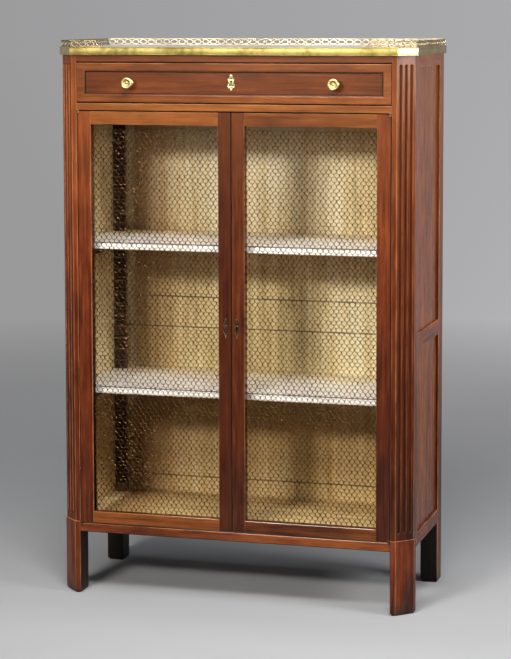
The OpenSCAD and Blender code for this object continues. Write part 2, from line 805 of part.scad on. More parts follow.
module gallery_back() color(brass) centred() {
    x = half_w + gallery_o + gallery_t;
    translate([0, body_d, z_top]) rotate([90, 0, 0]) linear_extrude(gallery_t) difference() {
        translate([-x, 0]) square([2 * x, gallery_h - rim_h]);
        piercing(-x + foot_w, x - foot_w);
    }
    box([-x, body_d - gallery_t - rim_out, rim_z], [x, body_d, rim_z + rim_h]);
    box([-x + foot_w, body_d - foot_w, z_top], [x - foot_w, body_d - gallery_t, z_top + foot_t]);
}

// Drawer bearings

module drawer_runners() color(oak) centred() both_sides() {
    panel_x = half_w - panel_set - panel_t - panel_play;
    // runner under the drawer side
    difference() {
        box([-panel_x, rail_drawer_d, z_mid], [-panel_x + runner_w, rear_y, z_run]);
        box([-panel_x - cut, rail_drawer_d - cut, z_mid - cut], [-open_x, post_d, z_run + cut]);
    }
    // guide beside the drawer
    box([-panel_x, post_d, z_run], [-side_x - 2 * drawer_play, rear_y, z_run + guide_h]);
    // stop block behind the drawer front
    translate([-stop_x, drawer_front_t + stop_gap, z_run]) cube([stop_w, stop_d, stop_h]);
}

module drawer_kickers() color(oak) centred() both_sides()
    translate([0, 0, kick_z]) linear_extrude(z_under - kick_z) polygon([[-rail_x, post_d],
        [-open_x, post_d], [-open_x, inner_y], [-side_x + drawer_side_t + kick_in, inner_y],
        [-side_x + drawer_side_t + kick_in, rear_y], [-rail_x, rear_y]]);

// Shelf racks: a sawtooth face with level steps

// Outline of one rack as distance out of its post and height
function rack_steps() = [for (i = [0:rack_n - 1], p = [0:2])
    let (z = z_board + rack_first + i * rack_pitch)
    p == 0 ? [rack_t, z] : p == 1 ? [rack_t - tooth_in, z]
    : [rack_t, z + rack_pitch - tooth_land]];

module rack() rotate([90, 0, 90]) linear_extrude(rack_w)
    polygon(concat([[0, z_board], [rack_t, z_board]], rack_steps(), [[rack_t, z_dust], [0, z_dust]]));

module rack_pair() {
    translate([-board_x, post_d, 0]) rack();
    translate([-board_x, rear_y, 0]) mirror([0, 1, 0]) rack();
}

module racks_left() color(old_wood) centred() rack_pair();
module racks_right() color(old_wood) centred() flip() rack_pair();

// Cleat whose ends follow the rack steps
module cleat(z) {
    slope = tooth_in / (rack_pitch - tooth_land);
    y0 = post_d + rack_t;
    y1 = rear_y - rack_t;
    low = tooth_in - cleat_play;
    high = low - slope * cleat_h;
    translate([-board_x + cleat_play, 0, 0]) rotate([90, 0, 90]) linear_extrude(cleat_w) polygon([
        [y0 - low, z - cleat_h], [y1 + low, z - cleat_h], [y1 + high, z], [y0 - high, z]]);
}

module shelf_cleats() color(old_wood) centred() both_sides() {
    cleat(upper_z);
    cleat(lower_z);
}

module shelf(z) translate([0, 0, z]) linear_extrude(shelf_t) {
    w = board_x - shelf_play;
    n = board_x - rack_w - shelf_play;
    y0 = post_d + rack_t + shelf_play;
    y1 = rear_y - rack_t - shelf_play;
    polygon([[-n, shelf_back], [n, shelf_back], [n, y0], [w, y0], [w, y1], [n, y1],
        [n, back_y - shelf_play], [-n, back_y - shelf_play], [-n, y1], [-w, y1], [-w, y0], [-n, y0]]);
}

module shelf_upper() color(cream) centred() shelf(upper_z);
module shelf_lower() color(cream) centred() shelf(lower_z);

// Pivot hinges

// Plan of a left-hand pivot plate, grown by g
module plate_plan(g) {
    translate([-pivot_x, -pivot_out]) circle(r = pivot_r + g);
    translate([-pivot_x - pivot_r - g, -pivot_out])
        square([2 * (pivot_r + g), pivot_out + pivot_back + cut + g]);
    translate([-pivot_x - pivot_r - g, pivot_back - g]) square([pivot_l + 2 * g, pivot_w + 2 * g]);
}

module carcase_plate(z, g) translate([0, 0, z - g]) linear_extrude(pivot_t + 2 * g) plate_plan(g);

module pivot_plates() color(brass) centred() both_sides() {
    carcase_plate(z_mid, 0);
    translate([-pivot_x, -pivot_out, z_door_top - pivot_door_t + pin_end])
        cylinder(h = pivot_door_t + door_gap - pin_end, d = pin_d);
    carcase_plate(z_door - door_gap - pivot_t, 0);
    translate([-pivot_x, -pivot_out, z_door - door_gap])
        cylinder(h = pivot_door_t + door_gap - pin_end, d = pin_d);
}

module door_plates(g) for (z = [z_door, z_door_top - pivot_door_t])
    translate([0, 0, z - g]) linear_extrude(pivot_door_t + 2 * g) plate_plan(g);

module door_pivots() difference() {
    door_plates(0);
    for (z = [z_door - cut, z_door_top - pivot_door_t - cut]) translate([-pivot_x, -pivot_out, z])
        cylinder(h = pivot_door_t + 2 * cut, r = pin_d / 2 + pin_play);
}

// Doors, drawn as the left one

module door_tenons(g) for (r = door_rail_z, x = [-net_x1, -net_x0])
    box([x - door_tenon_l - g, (net_y - tenon_t) / 2 + tenon_back - g, r[0] + tenon_sh - g],
        [x + door_tenon_l + g, (net_y + tenon_t) / 2 + tenon_back + g, r[1] - tenon_sh + g]);

module net_rebate() box([-net_x1 - rebate_w, net_y, net_z0 - rebate_w],
    [-net_x0 + rebate_w, door_t + cut, net_z1 + rebate_w]);

module door_stiles() difference() {
    union() {
        box([-door_x, 0, z_door], [-net_x1, door_t, z_door_top]);
        box([-net_x0, 0, z_door], [-meet_x, door_t, z_door_top]);
    }
    net_rebate();
    door_tenons(tenon_play);
    door_plates(plate_play);
}

module door_rails() difference() {
    union() {
        for (r = door_rail_z) box([-net_x1, 0, r[0]], [-net_x0, door_t, r[1]]);
        difference() {
            door_tenons(0);
            box([-net_x1, -cut, z_door], [-net_x0, door_t + cut, z_door_top]);
        }
    }
    net_rebate();
    door_plates(plate_play);
}

module door_beads() {
    y0 = net_y + net_t;
    x0 = -net_x1 - rebate_w + net_play;
    x1 = -net_x0 + rebate_w - net_play;
    z0 = net_z0 - rebate_w + net_play;
    z1 = net_z1 + rebate_w - net_play;
    w = rebate_w - net_play;
    z2 = z0 + mitre_gap;
    z3 = z1 - mitre_gap;
    back = door_t - bead_in;
    translate([0, back, 0]) rotate([90, 0, 0]) linear_extrude(back - y0) {
        polygon([[x0, z0], [x1, z0], [x1 - w, z0 + w], [x0 + w, z0 + w]]);
        polygon([[x0, z1], [x1, z1], [x1 - w, z1 - w], [x0 + w, z1 - w]]);
        polygon([[x0, z2], [x0, z3], [x0 + w, z3 - w], [x0 + w, z2 + w]]);
        polygon([[x1, z2], [x1, z3], [x1 - w, z3 - w], [x1 - w, z2 + w]]);
    }
}

// Wire netting: rows of six-sided meshes, every second row moved by half a mesh

// Whole mesh about its middle
function mesh(x, z) = [[x, z - mesh_tip], [x + mesh_w, z - mesh_up], [x + mesh_w, z + mesh_up],
    [x, z + mesh_tip], [x - mesh_w, z + mesh_up], [x - mesh_w, z - mesh_up]];

// Half mesh beside an upright edge at x, on the side s of it
module half_mesh(x, z, s) {
    e = net_wire / 2;
    polygon([[x + s * e, z - mesh_tip + e], [x + s * mesh_w, z - mesh_up],
        [x + s * mesh_w, z + mesh_up], [x + s * e, z + mesh_tip - e]]);
}

module net() {
    m = rebate_w - net_play;
    translate([0, net_y + net_t, 0]) rotate([90, 0, 0]) linear_extrude(net_t) difference() {
        translate([-net_x1 - m, net_z0 - m]) square([net_w + 2 * m, net_h + 2 * m]);
        for (r = [0:net_rows - 1]) {
            z = net_z0 + cell_h * (r + 0.5);
            shift = r % 2 == 0 ? 0.5 : 0;
            for (c = [r % 2:net_cols - 1]) polygon(mesh(-net_x1 + cell_w * (c + shift), z));
            if (r % 2 == 1) {
                half_mesh(-net_x1, z, 1);
                half_mesh(-net_x0, z, -1);
            }
        }
    }
}

// Keyhole as seen from the front, middle of the round part at the origin
module keyhole(g) {
    circle(d = key_d + g);
    translate([-(key_slot + g) / 2, -key_l]) square([key_slot + g, key_l]);
}

module keyhole_at(x, z, y0, y1, g) translate([x, y1, z]) rotate([90, 0, 0])
    linear_extrude(y1 - y0) keyhole(g);

// Slim escutcheon of the doors: waisted plate with a ring above and a drop below
module slim_plate() difference() {
    union() {
        for (s = [-1, 1]) translate([0, s * (dscut_h - dscut_w) / 2 - slim_low]) circle(d = dscut_w);
        translate([-slim_waist / 2, -dscut_h / 2]) square([slim_waist, dscut_h - 2 * slim_low]);
        translate([0, dscut_h / 2]) circle(r = slim_neck);
        translate([0, slim_ring]) circle(r = finial_r * slim_share);
        translate([0, -dscut_h / 2 - slim_neck]) circle(r = slim_neck);
        translate([-slim_low / 2, -dscut_h / 2 - slim_tail]) square([slim_low, slim_tail]);
        translate([0, -dscut_h / 2 - slim_tail]) circle(r = slim_low);
    }
    translate([0, slim_ring]) circle(r = finial_hole * slim_share);
}

module door_scutcheon(x) translate([x, 0, dscut_z]) rotate([90, 0, 0]) linear_extrude(plate_t)
    difference() {
        slim_plate();
        keyhole(0);
    }

// Plate with two staples that guide an upright rod; t is +1 for the upper, -1 for the lower bolt
function rod_end(t) = t > 0 ? z_dust - rod_rest : z_board + rod_rest;
module rod_guide(t) {
    z = rod_end(t) - t * rod_l / 2;
    w = rod_d / 2 + staple_t;
    difference() {
        union() {
            box([-rod_x - rod_plate_w / 2, door_t, z - rod_plate_l / 2],
                [-rod_x + rod_plate_w / 2, door_t + rod_plate_t, z + rod_plate_l / 2]);
            for (s = [-1, 1]) translate([-rod_x - w, door_t, z + s * staple_z - staple_h / 2])
                cube([2 * w, rod_y - door_t + w, staple_h]);
        }
        translate([-rod_x, rod_y, z - rod_l]) cylinder(h = 2 * rod_l, r = rod_d / 2 + pin_play);
    }
}

module rod(t) translate([-rod_x, rod_y, 0]) {
    z = rod_end(t);
    translate([0, 0, t > 0 ? z - rod_l : z]) cylinder(h = rod_l, d = rod_d);
    translate([0, 0, z - t * rod_l / 2]) rotate([-90, 0, 0])
        cylinder(h = rod_d / 2 + thumb_l, d = thumb_d);
}

module door_left_stiles() color(mahogany) centred() door_stiles();
module door_left_rails() color(mahogany) centred() door_rails();
module door_left_net() color(brass) centred() net();
module door_left_beads() color(mahogany) centred() door_beads();
module door_left_pivots() color(brass) centred() door_pivots();
module door_left_escutcheon() color(brass) centred() door_scutcheon(-meet_x - dscut_left);

module door_left_fittings() color(steel) centred() {
    rod_guide(1);
    rod_guide(-1);
    // keeper for the lock's bolt
    difference() {
        box([-meet_x - lock_edge - keeper_w, door_t, dscut_z - rbolt_h / 2 - keeper_over],
            [-meet_x - lock_edge, door_t + keeper_t, dscut_z + rbolt_h / 2 + keeper_over]);
        door_bolt_solid(bolt_throw + cut, bolt_play);
    }
}

module door_left_bolt_top() color(steel) centred() rod(1);
module door_left_bolt_bottom() color(steel) centred() rod(-1);

module door_right_stiles() color(mahogany) centred() difference() {
    flip() door_stiles();
    keyhole_at(meet_x + dscut_right, dscut_z, -cut, door_t + cut, key_more);
}

module door_right_rails() color(mahogany) centred() flip() door_rails();
module door_right_net() color(brass) centred() flip() net();
module door_right_beads() color(mahogany) centred() flip() door_beads();
module door_right_pivots() color(brass) centred() flip() door_pivots();
module door_right_escutcheon() color(brass) centred() door_scutcheon(meet_x + dscut_right);

// Bolt of the door lock, moved towards the left door by m and grown by g
module door_bolt_solid(m, g) box(
    [lock_x - m - g, door_t + (rlock_t - bolt_t) / 2 - g, dscut_z - rbolt_h / 2 - g],
    [lock_x + rbolt_l + g, door_t + (rlock_t + bolt_t) / 2 + g, dscut_z + rbolt_h / 2 + g]);

module door_right_lock() color(steel) centred() difference() {
    box([lock_x, door_t, dscut_z - rlock_h / 2],
        [lock_x + rlock_w, door_t + rlock_t, dscut_z + rlock_h / 2]);
    door_bolt_solid(cut, bolt_play);
}

module door_right_bolt() color(brass) centred() door_bolt_solid(0, 0);

// Drawer, drawn in its closed place

// Dovetails of the left side: y is their root, d their length towards -Y or +Y, grown by g,
// the lowest starting above z0
module tail_set(y, d, g, z0) {
    p = (tail_z1 - z0) / tails;
    for (i = [0:tails - 1]) {
        a = z0 + p * i + tail_gap - g;
        b = z0 + p * (i + 1) - tail_gap + g;
        f = abs(d) / tail_slope;
        translate([-side_x - g, 0, 0]) rotate([90, 0, 90]) linear_extrude(drawer_side_t + 2 * g)
            polygon([[y - sign(d) * g, a], [y - sign(d) * g, b], [y + d + sign(d) * g, b + f],
                [y + d + sign(d) * g, a - f]]);
    }
}

module drawer_side() difference() {
    union() {
        box([-side_x, drawer_front_t, side_z],
            [-side_x + drawer_side_t, drawer_len - drawer_side_t, side_top]);
        tail_set(drawer_front_t, -lap_l, 0, tail_z0);
        tail_set(drawer_len - drawer_side_t, drawer_side_t, 0, bottom_top + tail_edge);
    }
    drawer_bottom_solid(joint_play);
}

module drawer_sides() color(oak) centred() both_sides() drawer_side();

module drawer_back() color(oak) centred() difference() {
    box([-side_x, drawer_len - drawer_side_t, bottom_top], [side_x, drawer_len, side_top - back_down]);
    both_sides() tail_set(drawer_len - drawer_side_t, drawer_side_t, joint_play, bottom_top + tail_edge);
}

module drawer_bottom_solid(g) box(
    [-side_x + drawer_side_t - groove_side - g, drawer_front_t - groove_front - g, bottom_z - g],
    [side_x - drawer_side_t + groove_side + g, drawer_len + g, bottom_top + g]);

module drawer_bottom() color(oak) centred() drawer_bottom_solid(0);

module drawer_front() color(mahogany) centred() difference() {
    box([-drawer_x, 0, z_front], [drawer_x, drawer_front_t, z_front_top]);
    box([-field_x, -cut, field_z0], [field_x, field_in, field_z1]);
    both_sides() tail_set(drawer_front_t, -lap_l, joint_play, tail_z0);
    drawer_bottom_solid(joint_play);
    drawer_lock_case(joint_play);
    keyhole_at(0, key_z, field_in - cut, drawer_front_t, key_more);
}

// Mitred quarter-round moulding in the corner between border and field
module mould_run(l) rotate([90, 0, 90]) linear_extrude(l) intersection() {
    circle(r = mould_r);
    square(mould_r);
}

module drawer_moulding() color(mahogany) centred() {
    w = field_x;
    h = field_z1 - field_z0;
    m_in = mould_r * mitre_reach;
    low = mitre_gap / 2;
    for (m = [0:1]) translate([0, field_in, field_z0 + m * h]) mirror([0, 0, m]) intersection() {
        translate([-w, 0, 0]) mirror([0, 1, 0]) mould_run(2 * w);
        translate([0, cut, 0]) rotate([90, 0, 0]) linear_extrude(field_in + 2 * cut)
            polygon([[-w, 0], [w, 0], [w - m_in, m_in], [-w + m_in, m_in]]);
    }
    for (m = [0:1]) mirror([m, 0, 0]) translate([-w, field_in, field_z0]) intersection() {
        mirror([0, 1, 0]) linear_extrude(h) intersection() {
            circle(r = mould_r);
            square(mould_r);
        }
        translate([0, cut, 0]) rotate([90, 0, 0]) linear_extrude(field_in + 2 * cut)
            polygon([[0, low], [0, h - low], [m_in, h - m_in - low], [m_in, m_in + low]]);
    }
}

// Outline of a knob as radius and distance from the sunk field: foot, neck, head and dish
module knob() rotate([90, 0, 0]) rotate_extrude() {
    r = knob_d / 2;
    s = knob_stem / 2;
    foot = [[0, 0], [0.66, 0], [0.66, 0.4], [0.58, 0.75], [0.39, 1]];
    neck = [[1, 1.5], [0.9, 2.6]];
    head = [[0.3, 1], [0.45, 0.79], [0.72, 0.61], [0.93, 0.43], [1, 0.28], [1, 0.19], [0.95, 0.09],
        [0.86, 0.03], [0.76, 0]];
    dish = [[0.68, 0.17], [0.6, 0.67], [0.4, 1], [0.2, 0.93], [0, 0.73]];
    polygon(concat([for (p = foot) [p[0] * r, p[1] * knob_foot]],
        [for (p = neck) [p[0] * s, p[1] * knob_foot]],
        [for (p = head) [p[0] * r, knob_len - p[1] * knob_head]],
        [for (p = dish) [p[0] * r, knob_len - p[1] * knob_dish]]));
}

module drawer_knobs() color(brass) centred() for (x = [-knob_x, knob_x])
    translate([x, field_in, (z_front + z_front_top) / 2]) knob();

// Shaped plate with a ring above and a drop below
module shield() difference() {
    union() {
        difference() {
            translate([-scut_w / 2, -shield_low]) square([scut_w, scut_h]);
            for (s = [-1, 1]) translate([s * (scut_w / 2 + shield_waist * 0.75), -scut_h * 0.12])
                circle(r = shield_waist);
            for (s = [-1, 1]) translate([s * scut_w / 2, shield_top]) circle(r = finial_r);
        }
        translate([0, shield_top + finial_r]) circle(r = finial_r);
        translate([-finial_r, shield_top - cut]) square([2 * finial_r, finial_r]);
        translate([0, -shield_low - finial_r / 2]) circle(r = finial_r);
        translate([0, -shield_low - finial_r * 1.75]) circle(r = finial_r / 2);
    }
    translate([0, shield_top + finial_r]) circle(r = finial_hole);
}

module drawer_escutcheon() color(brass) centred() translate([0, field_in, key_z]) rotate([90, 0, 0])
    linear_extrude(plate_t) difference() {
        shield();
        keyhole(0);
    }

module drawer_lock_case(g) box([-dlock_w / 2 - g, drawer_front_t - dlock_t - g, lock_z - g],
    [dlock_w / 2 + g, drawer_front_t + g, z_front_top + g]);

// Bolt of the drawer lock, raised by m and grown by g
module drawer_bolt_solid(m, g) box(
    [-dbolt_w / 2 - g, drawer_front_t - (dlock_t + bolt_t) / 2 - g, dbolt_top - dbolt_h - g],
    [dbolt_w / 2 + g, drawer_front_t - (dlock_t - bolt_t) / 2 + g, dbolt_top + m + g]);

module drawer_lock() color(brass) centred() difference() {
    drawer_lock_case(0);
    drawer_bolt_solid(cut, bolt_play);
}

module drawer_bolt() color(steel) centred() drawer_bolt_solid(0, 0);

post_front_left();
post_front_right();
post_rear_left();
post_rear_right();
rail_front_top();
rail_drawer();
rail_front_bottom();
rails_left();
rails_right();
panels_left();
panels_right();
back_frame();
back_panels();
bottom_board();
dust_board();
under_top();
marble_top();
band_left();
band_front();
band_right();
gallery_back();
gallery_left();
gallery_right();
lining_left();
lining_right();
drawer_runners();
drawer_kickers();
racks_left();
racks_right();
shelf_cleats();
shelf_upper();
shelf_lower();
pivot_plates();
drawer_front();
drawer_moulding();
drawer_sides();
drawer_back();
drawer_bottom();
drawer_knobs();
drawer_escutcheon();
drawer_lock();
drawer_bolt();
door_left_stiles();
door_left_rails();
door_left_net();
door_left_beads();
door_left_pivots();
door_left_escutcheon();
door_left_fittings();
door_left_bolt_top();
door_left_bolt_bottom();
door_right_stiles();
door_right_rails();
door_right_net();
door_right_beads();
door_right_pivots();
door_right_escutcheon();
door_right_lock();
door_right_bolt();
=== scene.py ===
# %% [markdown]
# # A low mahogany bookcase
# The cabinet has fluted canted posts, one drawer, two doors with wire netting, a marble top and
# a brass gallery. The CAD model already gives every piece its place and its movement, so this
# lesson only gives surfaces, softened edges and the fine work that is too small for the CAD model.

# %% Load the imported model
import json
import math

import bmesh
import bpy
from mathutils import Matrix, Vector
from mathutils.noise import noise_vector, seed_set

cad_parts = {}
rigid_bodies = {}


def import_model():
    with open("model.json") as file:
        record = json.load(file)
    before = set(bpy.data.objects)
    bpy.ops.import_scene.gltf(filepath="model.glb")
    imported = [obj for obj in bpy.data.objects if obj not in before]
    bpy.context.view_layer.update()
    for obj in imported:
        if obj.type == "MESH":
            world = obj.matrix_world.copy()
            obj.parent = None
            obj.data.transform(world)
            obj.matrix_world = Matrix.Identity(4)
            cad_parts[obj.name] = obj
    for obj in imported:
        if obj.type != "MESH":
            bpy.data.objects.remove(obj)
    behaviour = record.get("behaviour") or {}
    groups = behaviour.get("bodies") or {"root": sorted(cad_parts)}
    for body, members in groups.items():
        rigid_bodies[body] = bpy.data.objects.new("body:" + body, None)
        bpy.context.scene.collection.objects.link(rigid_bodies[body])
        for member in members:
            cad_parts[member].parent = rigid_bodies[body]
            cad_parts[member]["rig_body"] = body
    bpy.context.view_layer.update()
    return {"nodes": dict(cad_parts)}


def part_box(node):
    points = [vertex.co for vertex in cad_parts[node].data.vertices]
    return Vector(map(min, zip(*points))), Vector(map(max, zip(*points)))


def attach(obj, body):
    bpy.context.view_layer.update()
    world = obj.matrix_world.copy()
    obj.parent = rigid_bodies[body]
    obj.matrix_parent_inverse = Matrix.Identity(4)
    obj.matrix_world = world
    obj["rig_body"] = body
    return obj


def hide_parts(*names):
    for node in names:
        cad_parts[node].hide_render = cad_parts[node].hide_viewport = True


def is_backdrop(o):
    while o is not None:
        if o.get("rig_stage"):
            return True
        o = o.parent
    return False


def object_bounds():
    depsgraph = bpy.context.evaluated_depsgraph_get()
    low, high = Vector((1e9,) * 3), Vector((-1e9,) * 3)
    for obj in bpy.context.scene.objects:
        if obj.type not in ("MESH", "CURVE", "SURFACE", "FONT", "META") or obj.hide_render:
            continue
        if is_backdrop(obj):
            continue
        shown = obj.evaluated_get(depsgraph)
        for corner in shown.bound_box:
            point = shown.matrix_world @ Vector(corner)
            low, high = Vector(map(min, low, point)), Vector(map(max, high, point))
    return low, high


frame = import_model()

# %% [markdown]
# ## The camera
# The photograph was taken with a long lens from the right, a little above the marble. The
# place, the turn and the lens come from a fit of the cabinet's corners. The lens is shifted
# instead of tilted as far as possible, so that upright edges stay upright.

# %% Place the camera
scene = bpy.context.scene
camera = bpy.data.objects.new("camera", bpy.data.cameras.new("camera"))
scene.collection.objects.link(camera)
scene.camera = camera
yaw, pitch, roll = math.radians(16.052), math.radians(5.509), math.radians(-0.122)
camera_place = (1.5400, -5.3174, 1.49)
camera.data.sensor_width = 36
camera.data.lens = 118.578
camera.data.shift_y = -0.1662
camera.data.clip_end = 200
turn = (Matrix.Rotation(yaw, 4, "Z") @ Matrix.Rotation(math.pi / 2 - pitch, 4, "X")
        @ Matrix.Rotation(roll, 4, "Z"))
camera.matrix_world = Matrix.Translation(camera_place) @ turn
print("camera", [round(v, 3) for v in camera.location])

# %% [markdown]
# ## Small helpers for materials
# Every finish is a tree of nodes. It could be wired by hand in the editor, but a few short
# helpers keep long trees readable: they add a node with its links, mix two colours, map a range
# or do a sum. Patterns read Object coordinates, because all pieces stand untransformed at the
# origin and the pattern then stays on the piece.

# %% Helpers for node trees
def recipe(name):
    """A new material with its tree and its Principled shader."""
    finish = bpy.data.materials.new(name)
    finish.use_nodes = True
    return finish, finish.node_tree, finish.node_tree.nodes["Principled BSDF"]


def add(tree, kind, inputs=None, **settings):
    """Adds a node; a socket among the inputs is linked, anything else is set."""
    node = tree.nodes.new(kind)
    for key, value in settings.items():
        setattr(node, key, value)
    for key, value in (inputs or {}).items():
        if isinstance(value, bpy.types.NodeSocket):
            tree.links.new(value, node.inputs[key])
        else:
            node.inputs[key].default_value = value
    return node


def blend(tree, factor, first, second, mode="MIX"):
    """Mixes two colours and returns the socket of the result."""
    return add(tree, "ShaderNodeMix", {0: factor, 6: first, 7: second},
               data_type="RGBA", blend_type=mode).outputs[2]


def scale_value(tree, value, low, high, to_low=0.0, to_high=1.0):
    """Maps a value from one range to another, clamped."""
    return add(tree, "ShaderNodeMapRange", {"Value": value, "From Min": low, "From Max": high,
               "To Min": to_low, "To Max": to_high}).outputs[0]


def sums(tree, kind, first, second):
    """One arithmetic step."""
    return add(tree, "ShaderNodeMath", {0: first, 1: second}, operation=kind).outputs[0]


def weighed(tree, *parts):
    """Sum of values, each with its share."""
    products = [sums(tree, "MULTIPLY", value, share) for value, share in parts]
    total = products[0]
    for product in products[1:]:
        total = sums(tree, "ADD", total, product)
    return total


def distance(tree, value, middle):
    """How far a value lies from a middle, on either side."""
    return sums(tree, "ABSOLUTE", sums(tree, "SUBTRACT", value, middle), 0.0)


def rgb(red, green, blue):
    """A colour without transparency."""
    return (red, green, blue, 1.0)


print("helpers for trees ready")

# %% Helpers for patterns
def place(tree):
    """Object coordinates: the vector and its three separate numbers."""
    spot = add(tree, "ShaderNodeTexCoord").outputs["Object"]
    axes = add(tree, "ShaderNodeSeparateXYZ", {0: spot})
    return spot, axes.outputs[0], axes.outputs[1], axes.outputs[2]


def noise(tree, spot, across, along=None, grain="Z", start=(0, 0, 0), detail=3.0, rough=0.5):
    """Noise with so many waves per metre across the grain and along it; start moves it."""
    waves = [across] * 3
    if along is not None:
        waves["XYZ".index(grain)] = along
    moved = add(tree, "ShaderNodeMapping", {"Vector": spot, "Location": start, "Scale": waves})
    return add(tree, "ShaderNodeTexNoise", {"Vector": moved.outputs[0], "Scale": 1.0,
               "Detail": detail, "Roughness": rough}).outputs["Fac"]


def ramp(tree, value, *stops):
    """A colour ramp with (place, colour) stops."""
    node = add(tree, "ShaderNodeValToRGB", {0: value})
    marks = node.color_ramp.elements
    for mark, (spot, colour) in ((marks[0], stops[0]), (marks[1], stops[-1])):
        mark.position, mark.color = spot, colour
    for spot, colour in stops[1:-1]:
        marks.new(spot).color = colour
    return node.outputs[0]


def relief(tree, shader, height, depth, strength=1.0):
    """Bump of so many metres on a shader."""
    bump = add(tree, "ShaderNodeBump", {"Height": height, "Distance": depth, "Strength": strength})
    tree.links.new(bump.outputs[0], shader.inputs["Normal"])


print("helpers for patterns ready")

# %% [markdown]
# ## The studio
# The picture shows a plain grey studio. A curved backdrop could be modelled, but it would look
# right from one side only. So the floor is a wide grey plane. Near the cabinet it takes light
# and shadow; further out it turns into the flat grey of the backdrop, for what the camera and
# shiny surfaces see, so that no horizon shows from any side.

# %% Make the floor
FLOOR_REACH = 60
FADE_FROM, FADE_TO = 1.2, 5.0


def backdrop_grey(tree, direction_x):
    """Grey of the backdrop, a little darker towards the left."""
    side = scale_value(tree, direction_x, -0.42, 0.0)
    return blend(tree, side, rgb(0.32, 0.32, 0.325), rgb(0.45, 0.445, 0.465))


def seen_only(tree):
    """1 for camera, glossy and transmission rays, and 0 for rays that carry light about."""
    path = add(tree, "ShaderNodeLightPath")
    both = sums(tree, "MAXIMUM", path.outputs["Is Camera Ray"], path.outputs["Is Glossy Ray"])
    return sums(tree, "MAXIMUM", both, path.outputs["Is Transmission Ray"])


floor_mesh = bpy.data.meshes.new("floor")
bm = bmesh.new()
bmesh.ops.create_grid(bm, x_segments=8, y_segments=8, size=FLOOR_REACH)
bm.to_mesh(floor_mesh)
bm.free()
floor = bpy.data.objects.new("floor", floor_mesh)
scene.collection.objects.link(floor)
floor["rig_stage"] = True

floor_finish, tree, shader = recipe("studio_floor")
spot, x, y, z = place(tree)
away = add(tree, "ShaderNodeVectorMath", {0: spot}, operation="LENGTH").outputs["Value"]
scuffs = noise(tree, spot, 5.0, detail=5.0)
shader.inputs["Roughness"].default_value = 0.9
shader.inputs["Specular IOR Level"].default_value = 0.15
tree.links.new(blend(tree, scuffs, rgb(0.375, 0.387, 0.410), rgb(0.400, 0.412, 0.435)),
               shader.inputs["Base Color"])
flat_grey = add(tree, "ShaderNodeEmission",
                {"Color": backdrop_grey(tree, sums(tree, "DIVIDE", x, away))})
fade = sums(tree, "MULTIPLY", scale_value(tree, away, FADE_FROM, FADE_TO), seen_only(tree))
mixed = add(tree, "ShaderNodeMixShader", {0: fade, 1: shader.outputs[0], 2: flat_grey.outputs[0]})
tree.links.new(mixed.outputs[0], tree.nodes["Material Output"].inputs["Surface"])
floor_mesh.materials.append(floor_finish)
print("floor", FLOOR_REACH, "m each way")

# %% [markdown]
# ## The light
# The shadows say that a broad lamp stood low at the left in front and that soft lamps hung
# above. Area lamps give such light with soft edges. The air adds a very weak light from
# everywhere, and a glow from the far left keeps the back and the left side readable. What the
# camera sees as air is the backdrop's grey, which lights nothing.

# %% Make the air
world = bpy.data.worlds.new("studio")
scene.world = world
world.use_nodes = True
tree = world.node_tree
air = tree.nodes["Background"]
AIR, GLOW, GLOW_SIDE = 0.035, 0.8, (-0.45, 0.89, 0.0)
air.inputs["Color"].default_value = rgb(0.94, 0.97, 1.0)
ray = add(tree, "ShaderNodeTexCoord").outputs["Generated"]
heading = add(tree, "ShaderNodeSeparateXYZ", {0: ray})
toward = add(tree, "ShaderNodeVectorMath", {0: ray, 1: GLOW_SIDE},
             operation="DOT_PRODUCT").outputs["Value"]
level = scale_value(tree, distance(tree, heading.outputs[2], 0.0), 0.04, 0.35, 1.0, 0.0)
glow = sums(tree, "MULTIPLY", scale_value(tree, toward, 0.2, 0.8, 0.0, GLOW), level)
tree.links.new(sums(tree, "ADD", glow, AIR), air.inputs["Strength"])
seen_air = add(tree, "ShaderNodeBackground", {"Color": backdrop_grey(tree, heading.outputs[0])})
mixed = add(tree, "ShaderNodeMixShader",
            {0: seen_only(tree), 1: air.outputs[0], 2: seen_air.outputs[0]})
tree.links.new(mixed.outputs[0], tree.nodes["World Output"].inputs["Surface"])
print("air", AIR, "with a glow of", GLOW)


# %% Hang the lamps
def softbox(name, spot, aim, size, power, colour=(1, 1, 1), spread=180):
    """A square soft lamp that faces a point."""
    lamp = bpy.data.lights.new(name, "AREA")
    lamp.shape, lamp.size, lamp.size_y = "RECTANGLE", size[0], size[1]
    lamp.energy, lamp.color, lamp.spread = power, colour, math.radians(spread)
    box = bpy.data.objects.new(name, lamp)
    scene.collection.objects.link(box)
    facing = (Vector(aim) - Vector(spot)).to_track_quat("-Z", "Y").to_matrix().to_4x4()
    box.matrix_world = Matrix.Translation(spot) @ facing


softbox("key", (-0.85, -3.88, 2.25), (0.72, 0.0, 0.95), (1.0, 0.4), 39.5, (1.0, 0.955, 0.88), 85)
softbox("front_high", (0.7, -2.15, 3.35), (0.1, 0.0, 0.9), (1.5, 0.8), 46, (1.0, 0.97, 0.93), 120)
softbox("ceiling", (0.1, -1.0, 3.4), (0.1, -0.2, 0.9), (2.2, 0.8), 14, (1.0, 0.98, 0.96))
softbox("right_box", (2.5, -0.65, 1.62), (0.45, -0.10, 1.2), (0.9, 0.8), 42, (1.0, 0.98, 0.95))
softbox("behind", (-0.2, 0.12, 3.4), (-0.2, 0.12, 0.0), (2.4, 0.3), 20)
scene.view_settings.view_transform = "Standard"

